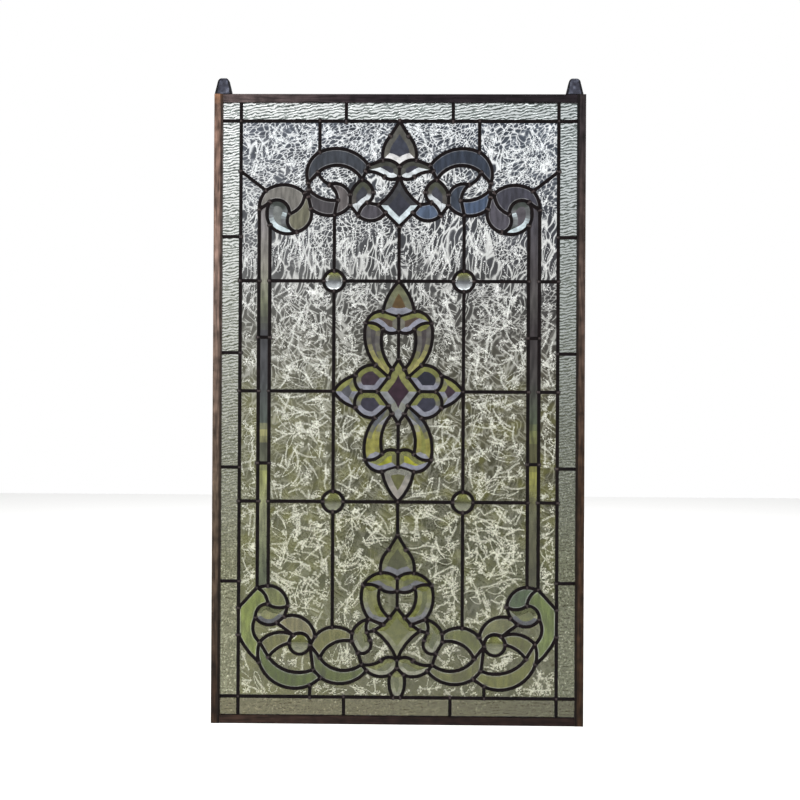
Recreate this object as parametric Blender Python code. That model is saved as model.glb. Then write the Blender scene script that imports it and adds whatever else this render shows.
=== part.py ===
"""A hanging window panel of bevelled and glue-chip glass, leaded up in a metal channel frame.

The panel stands upright in the XZ plane with its front towards -Y. The origin is halfway between
the two strap loops, at the height where a hook bears on them. All sizes are in metres.
"""

import math
from collections import namedtuple

import bmesh
import bpy
from mathutils import Vector

MM = 0.001

# Overall size and the channel frame
PANEL_WIDTH = 0.5207
PANEL_HEIGHT = 0.88265
FRAME_FACE = 0.012
FRAME_DEPTH = 0.009
FRAME_WEB = 0.002

# Leadwork and glass
BORDER_GLASS = 0.0256
CAME_FACE = 0.0048
CAME_DEPTH = 0.0056
EDGE_LEAD = 0.003
GLASS_THICKNESS = 0.003
JEWEL_RADIUS = 0.0124
GAP = 0.0003

# Strap loops on the top bar
LOOP_FOOT_WIDTH = 0.0245
LOOP_TOP_WIDTH = 0.0145
LOOP_HEIGHT = 0.0225
LOOP_STRAP = 0.0016
LEFT_LOOP_INSET = 0.0005
RIGHT_LOOP_INSET = 0.0038
LOOP_SIDES = 8

# The cartoon: the full-size drawing that the lead lines follow, in millimetres. Its x is measured
# from the centre line and its z from the frame's foot, and its edge is the border came.
SHEET_HALF_WIDTH = 222.75
SHEET_FOOT = 37.6
SHEET_TOP = 845.05
SHEET_MIDDLE = 465.9
UPPER_BAR = 620.6
LOWER_BAR = 311.2
JEWEL_LINE = 91.0
STRIP_INNER = 181.4
STRIP_OUTER = 196.7
TOP_JOINT = 75.0
FOOT_JOINT = 74.5
SIDE_JOINTS = (198.8, 358.8, 519.4, 682.4)
STRIP_JOINTS = (364.7, 541.2)

# A round lead line is drawn with straight edges: none turns by more than this, or leaves the round
# line by more than that.
TURN_PER_EDGE = math.radians(46)
BULGE_PER_EDGE = 0.0022
FINE_TURN = math.radians(2)
SAME_POINT = 1e-5
PARALLEL = 1e-3
ANGLE_STEP = 0.003

SIGHT_HALF_WIDTH = PANEL_WIDTH / 2 - FRAME_FACE
FIELD_HALF_WIDTH = SIGHT_HALF_WIDTH - BORDER_GLASS
FIELD_FOOT = FRAME_FACE + BORDER_GLASS
FIELD_TOP = PANEL_HEIGHT - FIELD_FOOT
LEAD_INSET = FRAME_WEB + GAP
EDGE_HALF_WIDTH = PANEL_WIDTH / 2 - LEAD_INSET - EDGE_LEAD / 2
EDGE_FOOT = LEAD_INSET + EDGE_LEAD / 2
EDGE_TOP = PANEL_HEIGHT - EDGE_FOOT
RING_RADIUS = JEWEL_RADIUS + CAME_FACE / 2
HANGING_HEIGHT = PANEL_HEIGHT + GAP + LOOP_HEIGHT - LOOP_STRAP

Seam = namedtuple("Seam", "start through end half")


def at(x, z):
    """A point of the cartoon as a place on the panel, in metres."""
    across = x / SHEET_HALF_WIDTH * FIELD_HALF_WIDTH
    rise = (z - SHEET_FOOT) / (SHEET_TOP - SHEET_FOOT)
    return Vector((across, FIELD_FOOT + rise * (FIELD_TOP - FIELD_FOOT)))


def straight(*points, half=CAME_FACE / 2):
    """Straight seams from each point to the next."""
    return [Seam(start, None, end, half) for start, end in zip(points, points[1:])]


def arc(start, through, end):
    """One seam that bends through a middle point."""
    return [Seam(start, through, end, CAME_FACE / 2)]


def ring_point(centre, degrees):
    """A point on the came around a jewel, by its compass angle from +X."""
    angle = math.radians(degrees)
    return centre + RING_RADIUS * Vector((math.cos(angle), math.sin(angle)))


def ring(centre, angles):
    """The came around a jewel, broken at the joints that stand at these angles."""
    seams = []
    for first, last in zip(angles, angles[1:] + (angles[0] + 360,)):
        middle = ring_point(centre, (first + last) / 2)
        seams += arc(ring_point(centre, first), middle, ring_point(centre, last))
    return seams


# Joints that two ornaments share
ARCH_SPRING = at(43.0, 783.0)
ARCH_INNER_SPRING = at(47.0, 774.5)
ARCH_FOOT = at(52.3, 763.0)
ARCH_JOINT = at(112.0, 801.8)
ARCH_TAIL = at(127.9, 758.0)
COMMA_HIP = at(69.0, 742.0)
COMMA_HEEL = at(69.0, 726.8)
SCROLL_FOOT = at(JEWEL_LINE, 713.0)
SCROLL_TOUCH = at(127.8, 738.8)
SCROLL_PART = at(123.8, 721.5)
CORNER_JOINT = at(187.5, 747.3)
STRIP_TOP = at(STRIP_OUTER, 720.5)
STRIP_INNER_TOP = at(STRIP_INNER, 698.6)
STRIP_FOOT = at(STRIP_OUTER, 190.0)
STRIP_INNER_FOOT = at(STRIP_INNER, 193.0)
CROWN_TIP = at(0.0, SHEET_TOP)
CROWN_FOOT = at(0.0, 697.0)
FOOT_TIP = at(0.0, 265.0)
SIDE_TIP = at(JEWEL_LINE, SHEET_MIDDLE)
SWAG_PEAK = at(JEWEL_LINE, 135.6)
SWAG_START = at(63.2, 127.3)
SWAG_INNER_START = at(63.8, 116.0)
SWAG_HOOK = at(49.5, 83.4)
SWAG_HEEL = at(42.7, 74.6)
SWAG_DROP = at(122.0, 53.6)
LEAF_FOOT = at(5.0, SHEET_FOOT)
SPIRAL_TOP = at(SHEET_HALF_WIDTH, 161.5)
SPIRAL_LOW = at(SHEET_HALF_WIDTH, 123.5)
UPPER_JEWEL = at(JEWEL_LINE, UPPER_BAR)
LOWER_JEWEL = at(JEWEL_LINE, LOWER_BAR)
SWAG_JEWEL = at(136.5, 112.0)
SWAG_RING = (2, 52, 188)


def border():
    """The cames along and across the border, and the edge lead that the channel hides."""
    line_x = FIELD_HALF_WIDTH
    side_heights = [at(0, z).y for z in SIDE_JOINTS]
    edge_stops = [FIELD_FOOT, *side_heights, FIELD_TOP]
    top_x, foot_x = at(TOP_JOINT, 0).x, at(FOOT_JOINT, 0).x
    edge = [Vector((x, EDGE_FOOT)) for x in (0, foot_x, line_x, EDGE_HALF_WIDTH)]
    edge += [Vector((EDGE_HALF_WIDTH, z)) for z in edge_stops]
    edge += [Vector((x, EDGE_TOP)) for x in (EDGE_HALF_WIDTH, line_x, top_x, 0)]
    seams = straight(*edge, half=EDGE_LEAD / 2)

    upright = [SPIRAL_LOW.y, SPIRAL_TOP.y, *side_heights, FIELD_FOOT, FIELD_TOP, EDGE_FOOT, EDGE_TOP]
    upright += [at(0, z).y for z in (LOWER_BAR, SHEET_MIDDLE, UPPER_BAR, 774.5)]
    seams += straight(*[Vector((line_x, z)) for z in sorted(upright)])
    foot_stops = [0, LEAF_FOOT.x, foot_x, SWAG_DROP.x, line_x, EDGE_HALF_WIDTH]
    seams += straight(*[Vector((x, FIELD_FOOT)) for x in foot_stops])
    top_stops = [0, top_x, ARCH_JOINT.x, line_x, EDGE_HALF_WIDTH]
    seams += straight(*[Vector((x, FIELD_TOP)) for x in top_stops])
    seams += straight(Vector((top_x, FIELD_TOP)), Vector((top_x, EDGE_TOP)))
    seams += straight(Vector((foot_x, EDGE_FOOT)), Vector((foot_x, FIELD_FOOT)))
    for z in side_heights:
        seams += straight(Vector((line_x, z)), Vector((EDGE_HALF_WIDTH, z)))
    return seams


def field():
    """The straight cames that divide the glue-chip field, with the narrow side strips."""
    seams = straight(ARCH_JOINT, at(112.0, SHEET_TOP))
    seams += straight(CORNER_JOINT, at(SHEET_HALF_WIDTH, 774.5))
    seams += straight(SWAG_DROP, at(122.0, SHEET_FOOT))
    seams += straight(CROWN_FOOT, at(0, UPPER_BAR))
    seams += straight(at(0, LOWER_BAR), FOOT_TIP)
    for height, jewel in ((UPPER_BAR, UPPER_JEWEL), (LOWER_BAR, LOWER_JEWEL)):
        seams += straight(at(0, height), ring_point(jewel, 180))
        seams += straight(ring_point(jewel, 0), at(STRIP_INNER, height))
        seams += ring(jewel, (0, 90, 180, 270))
    seams += straight(SIDE_TIP, at(STRIP_INNER, SHEET_MIDDLE))
    for height in (LOWER_BAR, SHEET_MIDDLE, UPPER_BAR):
        seams += straight(at(STRIP_OUTER, height), at(SHEET_HALF_WIDTH, height))
    seams += straight(SCROLL_FOOT, ring_point(UPPER_JEWEL, 90))
    seams += straight(ring_point(UPPER_JEWEL, 270), SIDE_TIP, ring_point(LOWER_JEWEL, 90))
    seams += straight(ring_point(LOWER_JEWEL, 270), SWAG_PEAK)
    stops = sorted((LOWER_BAR, SHEET_MIDDLE, UPPER_BAR) + STRIP_JOINTS)
    seams += straight(STRIP_FOOT, *[at(STRIP_OUTER, z) for z in stops], STRIP_TOP)
    seams += straight(STRIP_INNER_FOOT, *[at(STRIP_INNER, z) for z in stops], STRIP_INNER_TOP)
    for z in STRIP_JOINTS:
        seams += straight(at(STRIP_INNER, z), at(STRIP_OUTER, z))
    return seams


def crown():
    """The drop, two lobes, diamond, comma bevel and leaf under the middle of the top border."""
    neck, shoulder = at(13.0, 824.3), at(23.5, 790.6)
    cusp, low_cusp = at(0, 781.3), at(0, 767.3)
    waist, corner = at(21.0, 766.8), at(29.0, 727.6)
    crook, leaf_top = at(36.5, 745.0), at(45.0, 730.7)
    leaf_tip, comma_tip = at(19.5, 716.3), at(57.4, 712.3)
    seams = arc(CROWN_TIP, at(6.2, 834.3), neck)
    seams += arc(neck, at(22.2, 808.3), shoulder)
    seams += arc(cusp, at(10.2, 789.0), shoulder)
    seams += arc(shoulder, at(33.8, 788.0), ARCH_SPRING)
    seams += straight(cusp, low_cusp)
    seams += arc(low_cusp, at(10.5, 763.3), waist)
    seams += arc(waist, at(33.5, 773.0), ARCH_INNER_SPRING)
    seams += arc(low_cusp, at(12.0, 744.3), corner)
    seams += straight(corner, leaf_tip, CROWN_FOOT)
    seams += arc(ARCH_FOOT, at(41.0, 755.6), crook)
    seams += arc(crook, at(38.6, 736.6), leaf_top)
    seams += arc(leaf_top, at(53.2, 723.4), comma_tip)
    seams += straight(leaf_top, corner)
    seams += arc(leaf_tip, at(39.5, 705.2), comma_tip)
    seams += arc(ARCH_FOOT, at(62.6, 754.2), COMMA_HIP)
    seams += straight(COMMA_HIP, COMMA_HEEL)
    seams += arc(COMMA_HEEL, at(64.6, 718.8), comma_tip)
    return seams


def arch_and_scroll():
    """The streaky arch beside the crown and the small scroll that it curls into."""
    bud_top, bud_tip = at(114.0, 773.0), at(98.0, 755.8)
    scroll_left, heart = at(126.7, 748.5), at(86.8, 734.0)
    seams = straight(ARCH_SPRING, ARCH_INNER_SPRING, ARCH_FOOT)
    seams += arc(ARCH_SPRING, at(68.0, 802.8), ARCH_JOINT)
    seams += arc(ARCH_JOINT, at(125.8, 788.0), ARCH_TAIL)
    seams += arc(ARCH_FOOT, at(76.0, 781.5), bud_top)
    seams += arc(bud_top, at(121.6, 766.8), ARCH_TAIL)
    seams += straight(ARCH_TAIL, scroll_left, SCROLL_TOUCH)
    seams += arc(SCROLL_TOUCH, at(127.0, 729.8), SCROLL_PART)
    seams += arc(SCROLL_PART, at(109.5, 713.8), SCROLL_FOOT)
    seams += arc(SCROLL_FOOT, at(78.6, 717.6), COMMA_HEEL)
    seams += arc(COMMA_HIP, at(80.5, 755.2), bud_tip)
    seams += arc(bud_top, at(107.6, 762.4), bud_tip)
    seams += arc(bud_tip, at(90.2, 747.2), heart)
    seams += arc(heart, at(88.0, 723.4), SCROLL_FOOT)
    seams += arc(scroll_left, at(108.3, 736.3), heart)
    return seams


def corner_scroll():
    """The large scroll in each upper corner, around an oval bevel."""
    crest, eye_right = at(133.0, 743.9), at(154.5, 714.5)
    eye_top, eye_foot = at(181.5, 731.3), at(144.0, 689.3)
    seams = straight(SCROLL_TOUCH, crest)
    seams += arc(crest, at(158.5, 755.4), CORNER_JOINT)
    seams += arc(CORNER_JOINT, at(194.7, 735.3), STRIP_TOP)
    seams += arc(STRIP_TOP, at(189.6, 727.2), eye_top)
    seams += arc(eye_top, at(164.5, 732.6), eye_right)
    seams += arc(eye_right, at(142.0, 721.8), crest)
    seams += arc(eye_right, at(156.6, 700.7), eye_foot)
    seams += arc(SCROLL_PART, at(127.0, 701.0), eye_foot)
    seams += arc(eye_foot, at(164.8, 687.6), STRIP_INNER_TOP)
    seams += arc(STRIP_INNER_TOP, at(186.0, 714.6), eye_top)
    return seams


def centre_ornament():
    """The middle ornament: drawn above the centre height and mirrored below it."""
    shoulder, cusp, low_cusp = at(22.2, 578.5), at(0, 571.3), at(0, 550.3)
    waist, petal_top, lobe_tip = at(22.3, 553.0), at(0, 511.0), at(46.0, 561.5)
    strip_end, oval_tip, strip_side = at(8.8, 497.3), at(13.8, 486.2), at(32.5, 502.8)
    oval_side, oval_foot, corner = at(60.5, 488.3), at(52.5, SHEET_MIDDLE), at(29.3, SHEET_MIDDLE)
    upper = arc(at(0, UPPER_BAR), at(14.3, 601.3), shoulder)
    upper += arc(cusp, at(10.0, 576.7), shoulder)
    upper += arc(shoulder, at(36.8, 574.5), lobe_tip)
    upper += straight(cusp, low_cusp)
    upper += arc(low_cusp, at(11.5, 547.5), waist)
    upper += arc(waist, at(32.5, 560.6), lobe_tip)
    upper += straight(low_cusp, petal_top)
    upper += arc(lobe_tip, at(46.6, 533.5), strip_side)
    upper += arc(waist, at(22.0, 521.0), strip_end)
    upper += straight(petal_top, strip_end, oval_tip)
    upper += arc(strip_side, at(23.4, 495.4), oval_tip)
    upper += arc(oval_tip, at(20.8, 475.4), corner)
    upper += arc(strip_side, at(47.8, 500.6), oval_side)
    upper += arc(oval_side, at(60.0, 475.6), oval_foot)
    upper += arc(oval_side, at(76.3, 481.4), SIDE_TIP)
    middle = at(0, SHEET_MIDDLE).y
    lower = [Seam(*[flipped(point, middle) for point in seam[:3]], seam.half) for seam in upper]
    return upper + lower + straight(corner, oval_foot)


def flipped(point, middle):
    """The same point as far below a height as it was above it."""
    return point and Vector((point.x, 2 * middle - point.y))


def foot_ornament():
    """The drop, lobes, strips, diamond, comma bevels and leaves over the bottom border."""
    neck, shoulder, cusp, low_cusp = at(12.5, 244.3), at(23.4, 211.8), at(0, 204.5), at(0, 186.5)
    waist, lobe_tip, petal_top = at(24.5, 190.6), at(47.8, 194.3), at(0, 163.0)
    strip_end, wedge_tip, corner = at(10.8, 149.2), at(19.6, 139.4), at(32.0, 131.0)
    wedge_top, wedge_side = at(39.5, 147.0), at(42.0, 128.4)
    crook, comma_foot = at(37.8, 117.5), at(54.5, 99.5)
    leaf_top, leaf_low, leaf_waist = at(0, 90.0), at(0, 78.5), at(22.5, 89.0)
    leaf_joint = at(9.7, 69.2)
    seams = arc(FOOT_TIP, at(6.0, 254.5), neck)
    seams += arc(neck, at(22.0, 229.3), shoulder)
    seams += arc(cusp, at(10.6, 210.7), shoulder)
    seams += arc(shoulder, at(38.2, 205.6), lobe_tip)
    seams += straight(cusp, low_cusp)
    seams += arc(low_cusp, at(12.5, 184.8), waist)
    seams += arc(waist, at(35.0, 195.2), lobe_tip)
    seams += straight(low_cusp, petal_top)
    seams += arc(lobe_tip, at(50.0, 171.0), wedge_top)
    seams += arc(wedge_top, at(29.8, 143.2), wedge_tip)
    seams += arc(waist, at(25.0, 169.0), strip_end)
    seams += arc(petal_top, at(4.6, 155.2), strip_end)
    seams += straight(strip_end, wedge_tip, corner, wedge_side)
    seams += arc(corner, at(13.0, 113.4), leaf_top)
    seams += arc(wedge_top, at(43.4, 137.4), wedge_side)
    seams += straight(wedge_side, crook)
    seams += arc(crook, at(39.5, 103.5), comma_foot)
    seams += arc(wedge_top, at(55.0, 139.5), SWAG_START)
    seams += straight(SWAG_START, SWAG_INNER_START)
    seams += arc(SWAG_INNER_START, at(60.8, 107.3), comma_foot)
    seams += arc(comma_foot, at(51.3, 91.7), SWAG_HOOK)
    seams += straight(leaf_top, leaf_low)
    seams += arc(leaf_top, at(11.0, 93.8), leaf_waist)
    seams += arc(leaf_waist, at(35.0, 83.4), SWAG_HOOK)
    seams += arc(leaf_low, at(4.1, 73.1), leaf_joint)
    seams += arc(leaf_joint, at(26.0, 66.9), SWAG_HEEL)
    seams += straight(SWAG_HEEL, SWAG_HOOK)
    seams += arc(leaf_joint, at(10.6, 53.0), LEAF_FOOT)
    return seams


def swag():
    """The scrolls that run from the foot ornament out to the side border."""
    start_top, hook, dip = at(115.0, 122.5), at(108.0, 92.3), at(106.8, 63.9)
    belly, wing_top, wing_foot = at(117.6, 75.5), at(192.8, 113.6), at(180.3, 93.0)
    spiral_joint, brow, brow_low = at(193.6, 85.2), at(158.3, 149.6), at(168.7, 140.8)
    fan_side, fan_heart, fan_low = at(153.4, 165.0), at(181.6, 167.3), at(198.6, 148.0)
    ring_right, ring_top, ring_left = (ring_point(SWAG_JEWEL, angle) for angle in SWAG_RING)
    seams = ring(SWAG_JEWEL, SWAG_RING)
    seams += arc(SWAG_START, at(76.0, 133.9), SWAG_PEAK)
    seams += arc(SWAG_PEAK, at(104.8, 131.2), start_top)
    seams += straight(start_top, ring_left)
    seams += arc(SWAG_INNER_START, at(89.5, 112.8), hook)
    seams += arc(hook, at(115.3, 101.3), ring_left)
    seams += arc(SWAG_HOOK, at(77.0, 74.7), hook)
    seams += arc(SWAG_HEEL, at(72.0, 57.0), dip)
    seams += arc(dip, at(112.9, 69.1), belly)
    seams += arc(belly, at(120.8, 93.0), ring_left)
    seams += arc(start_top, at(131.5, 147.2), brow)
    seams += arc(ring_top, at(155.8, 133.6), brow_low)
    seams += arc(ring_top, at(171.5, 126.6), wing_top)
    seams += arc(ring_right, at(168.2, 105.0), wing_foot)
    seams += arc(wing_top, at(187.9, 102.5), wing_foot)
    seams += arc(wing_foot, at(152.0, 73.1), belly)
    seams += arc(wing_top, at(195.4, 99.6), spiral_joint)
    seams += arc(spiral_joint, at(170.0, 56.2), SWAG_DROP)
    seams += arc(SWAG_DROP, at(114.2, 58.0), dip)
    seams += arc(STRIP_FOOT, at(209.7, 177.4), SPIRAL_TOP)
    seams += arc(SPIRAL_LOW, at(211.2, 103.7), spiral_joint)
    seams += straight(STRIP_FOOT, STRIP_INNER_FOOT)
    seams += arc(STRIP_INNER_FOOT, at(162.8, 185.8), fan_side)
    seams += arc(STRIP_FOOT, at(185.8, 180.5), fan_heart)
    seams += arc(fan_heart, at(167.3, 161.7), fan_side)
    seams += arc(fan_side, at(154.6, 157.3), brow)
    seams += arc(brow, at(163.0, 144.8), brow_low)
    seams += arc(fan_heart, at(193.8, 162.3), fan_low)
    seams += arc(fan_low, at(184.7, 138.3), brow_low)
    seams += arc(fan_low, at(202.3, 130.8), wing_top)
    return seams


def mirrored(seams):
    """The seams of the right half and their mirror images, without doubling the centre line."""
    both = list(seams)
    for seam in seams:
        if abs(seam.start.x) > SAME_POINT or abs(seam.end.x) > SAME_POINT:
            points = [point and Vector((-point.x, point.y)) for point in seam[:3]]
            both.append(Seam(*points, seam.half))
    return both


def circle_through(start, through, end):
    """Centre of the circle through three points."""
    first, second = through - start, end - start
    twice_area = 2 * first.cross(second)
    offset = Vector((second.y * first.length_squared - first.y * second.length_squared,
                     first.x * second.length_squared - second.x * first.length_squared))
    return start + offset / twice_area


def drawn(seam, most_turn=TURN_PER_EDGE):
    """The points along a seam, none turning by more than most_turn from its neighbours."""
    if seam.through is None:
        return [seam.start, seam.end]
    centre = circle_through(seam.start, seam.through, seam.end)
    spoke = seam.start - centre
    first = math.atan2(spoke.y, spoke.x)
    to_through, to_end = seam.through - centre, seam.end - centre
    anticlockwise = (seam.through - seam.start).cross(seam.end - seam.through) > 0
    sweep = (math.atan2(to_end.y, to_end.x) - first) % (2 * math.pi)
    if not anticlockwise:
        sweep -= 2 * math.pi
    radius = to_through.length
    turn = min(most_turn, 2 * math.acos(max(0, 1 - BULGE_PER_EDGE / radius)))
    count = max(1, math.ceil(abs(sweep) / turn))
    angles = [first + sweep * step / count for step in range(1, count)]
    between = [centre + radius * Vector((math.cos(angle), math.sin(angle))) for angle in angles]
    return [seam.start, *between, seam.end]


def joint_key(point):
    return round(point.x / SAME_POINT), round(point.y / SAME_POINT)


def leaving_angle(seam, start):
    """Compass angle of a seam a few millimetres after the joint that it leaves."""
    points = drawn(seam, FINE_TURN)
    if joint_key(points[0]) != joint_key(start):
        points.reverse()
    for point in points[1:]:
        step = point - start
        if step.length > ANGLE_STEP:
            break
    return math.atan2(step.y, step.x)


def cells(seams):
    """Walk the net of seams; each cell is a list of corners, each with its next edge's half came."""
    leaving = {}
    for seam in seams:
        points = drawn(seam)
        for run in (points, points[::-1]):
            angle = leaving_angle(seam, run[0])
            leaving.setdefault(joint_key(run[0]), []).append((angle, run, seam))
    following = {}
    for fan in leaving.values():
        fan.sort(key=lambda item: item[0])
        for index, (_, run, seam) in enumerate(fan):
            following[id(seam), joint_key(run[-1])] = fan[index - 1]
    found, used = [], set()
    for fan in leaving.values():
        for start in fan:
            item, cell = start, []
            while (id(item[2]), joint_key(item[1][0])) not in used:
                _, run, seam = item
                used.add((id(seam), joint_key(run[0])))
                cell += [(point, seam.half) for point in run[:-1]]
                item = following[id(seam), joint_key(run[0])]
            if cell and signed_area([point for point, _ in cell]) > 0:
                found.append(cell)
    return found


def signed_area(points):
    return sum(a.cross(b) for a, b in zip(points, points[1:] + points[:1])) / 2


def crossing(point, along, other, other_along):
    """Where two lines meet, or halfway between their points where they are parallel."""
    turn = along.cross(other_along)
    if abs(turn) < PARALLEL:
        return (point + other) / 2
    return point + along * ((other - point).cross(other_along) / turn)


def inset(cell, more=0.0):
    """A cell's corners moved in by each edge's half came, and by a little more where asked.

    An edge that the inset uses up drops out, the one that goes first before the others.
    """
    edges = []
    for (start, half), (end, _) in zip(cell, cell[1:] + cell[:1]):
        along = (end - start).normalized()
        edges.append((start, end, along, Vector((-along.y, along.x)) * (half + more)))
    while True:
        corners, moved = [], []
        for before, edge in zip([edges[-1]] + edges[:-1], edges):
            corners.append(crossing(before[1], before[2], edge[0], edge[2]))
            moved.append(crossing(before[1] + before[3], before[2], edge[0] + edge[3], edge[2]))
        shares = {}
        for index, edge in enumerate(edges):
            after = (index + 1) % len(edges)
            length = (corners[after] - corners[index]).dot(edge[2])
            left = (moved[after] - moved[index]).dot(edge[2])
            if left < 0:
                shares[index] = length / (length - left)
        if not shares:
            return tidy(moved)
        edges.pop(min(shares, key=shares.get))


def tidy(points):
    """The outline without corners that lie on a straight edge."""
    kept = []
    for before, point, after in zip([points[-1]] + points[:-1], points, points[1:] + points[:1]):
        first, second = (point - before).normalized(), (after - point).normalized()
        if abs(first.cross(second)) > PARALLEL:
            kept.append(point)
    return kept


def holds(points, place):
    """Whether an outline goes round a place."""
    inside = False
    for a, b in zip(points, points[1:] + points[:1]):
        if (a.y > place.y) != (b.y > place.y):
            if place.x < a.x + (place.y - a.y) / (b.y - a.y) * (b.x - a.x):
                inside = not inside
    return inside


def pane_places():
    """A place inside each sheet-glass pane, by the pane's name; the names tell the side."""
    rows = (("crown_pane", 70, 825), ("top_corner_pane", 170, 800), ("foot_corner_pane", 205, 60),
            ("foot_pane", 80, 48), ("side_pane_1", 210, 690), ("side_pane_2", 210, 545),
            ("side_pane_3", 210, 390), ("side_pane_4", 210, 250), ("outer_pane_1", 135, 655),
            ("outer_pane_2", 135, 545), ("outer_pane_3", 135, 390), ("outer_pane_4", 135, 230),
            ("inner_pane_1", 45, 660), ("inner_pane_2", 75, 560), ("inner_pane_3", 75, 372),
            ("inner_pane_4", 70, 200))
    places = {name: at(x, z) for name, x, z in rows}
    side_x = (FIELD_HALF_WIDTH + EDGE_HALF_WIDTH) / 2
    top_z, foot_z = (FIELD_TOP + EDGE_TOP) / 2, (FIELD_FOOT + EDGE_FOOT) / 2
    beside_joint = at((TOP_JOINT + SHEET_HALF_WIDTH) / 2, 0).x
    for name, z in (("top", top_z), ("foot", foot_z)):
        places[f"border_corner_{name}"] = Vector((side_x, z))
        places[f"border_{name}"] = Vector((beside_joint, z))
    stops = (SHEET_FOOT, *SIDE_JOINTS, SHEET_TOP)
    for index, (low, high) in enumerate(zip(stops, stops[1:])):
        places[f"border_side_{len(SIDE_JOINTS) + 1 - index}"] = Vector((side_x, at(0, (low + high) / 2).y))
    named = {}
    for name, place in places.items():
        named[f"{name}_right"] = place
        named[f"{name}_left"] = Vector((-place.x, place.y))
    named["border_top_middle"] = Vector((0, top_z))
    named["border_foot_middle"] = Vector((0, foot_z))
    return named


def clear_scene():
    for item in list(bpy.data.objects):
        bpy.data.objects.remove(item)


def material(name, colour, roughness, metallic):
    made = bpy.data.materials.new(name)
    made.use_nodes = True
    shader = made.node_tree.nodes["Principled BSDF"]
    shader.inputs["Base Color"].default_value = (*colour, 1)
    shader.inputs["Roughness"].default_value = roughness
    shader.inputs["Metallic"].default_value = metallic
    return made


def plate(name, outlines, thickness, turn=(math.pi / 2, 0, 0)):
    """A flat solid from closed outlines; an outline inside another one is a hole."""
    curve = bpy.data.curves.new(name, "CURVE")
    curve.dimensions = "2D"
    curve.fill_mode = "BOTH"
    curve.extrude = thickness / 2
    for outline in outlines:
        spline = curve.splines.new("POLY")
        spline.points.add(len(outline) - 1)
        for point, place in zip(spline.points, outline):
            point.co = (place[0], place[1], 0, 1)
        spline.use_cyclic_u = True
    drawing = bpy.data.objects.new(name, curve)
    bpy.context.scene.collection.objects.link(drawing)
    drawing.rotation_euler = turn
    bpy.context.view_layer.update()
    graph = bpy.context.evaluated_depsgraph_get()
    mesh = bpy.data.meshes.new_from_object(drawing.evaluated_get(graph))
    work = bmesh.new()
    work.from_mesh(mesh)
    bmesh.ops.remove_doubles(work, verts=work.verts, dist=SAME_POINT)
    bmesh.ops.recalc_face_normals(work, faces=work.faces)
    work.to_mesh(mesh)
    work.free()
    stance = drawing.matrix_world.copy()
    bpy.data.objects.remove(drawing)
    solid = bpy.data.objects.new(name, mesh)
    solid.matrix_world = stance
    return solid


def place_in(collection, solid, made_of, lift=-HANGING_HEIGHT):
    """Put a solid in the panel's own frame of reference, with its material."""
    collection.objects.link(solid)
    solid.location.z += lift
    solid.data.materials.clear()
    solid.data.materials.append(made_of)
    return solid


def channel_bar(name, length, turn):
    """One bar of U channel, its slot opening towards local +X, drawn at the middle of its length."""
    slot = CAME_DEPTH / 2 + GAP
    side = FRAME_DEPTH / 2
    profile = ((0, -side), (FRAME_FACE, -side), (FRAME_FACE, -slot), (FRAME_WEB, -slot),
               (FRAME_WEB, slot), (FRAME_FACE, slot), (FRAME_FACE, side), (0, side))
    return plate(name, [profile], length, turn)


def build_frame(parts, patina):
    half_width, middle = PANEL_WIDTH / 2, PANEL_HEIGHT / 2
    across = PANEL_WIDTH - 2 * FRAME_FACE - 2 * GAP
    quarter = math.pi / 2
    bars = (("frame_left", PANEL_HEIGHT, (0, 0, 0), (-half_width, middle)),
            ("frame_right", PANEL_HEIGHT, (0, 0, 2 * quarter), (half_width, middle)),
            ("frame_foot", across, (0, -quarter, 0), (0, 0)),
            ("frame_top", across, (0, quarter, 0), (0, PANEL_HEIGHT)))
    for name, length, turn, (x, z) in bars:
        bar = channel_bar(name, length, turn)
        bar.location = (x, 0, z)
        place_in(parts, bar, patina)


def build_loop(parts, name, middle_x, patina):
    """A strap bent into a standing loop that opens sideways and narrows to its top."""
    outer, inner = [], []
    half_depth = FRAME_DEPTH / 2
    for run, radius, foot in ((outer, half_depth, 0), (inner, half_depth - LOOP_STRAP, LOOP_STRAP)):
        run += [(-radius, foot), (radius, foot)]
        for step in range(LOOP_SIDES + 1):
            angle = math.pi * step / LOOP_SIDES
            rise = LOOP_HEIGHT - half_depth + radius * math.sin(angle)
            run.append((radius * math.cos(angle), rise))
    quarter = math.pi / 2
    loop = plate(name, [outer, inner], LOOP_FOOT_WIDTH, (quarter, 0, quarter))
    for vertex in loop.data.vertices:
        rise = vertex.co.y / LOOP_HEIGHT
        vertex.co.z *= 1 - rise * (1 - LOOP_TOP_WIDTH / LOOP_FOOT_WIDTH)
    loop.location = (middle_x, 0, PANEL_HEIGHT + GAP)
    place_in(parts, loop, patina)


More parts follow.
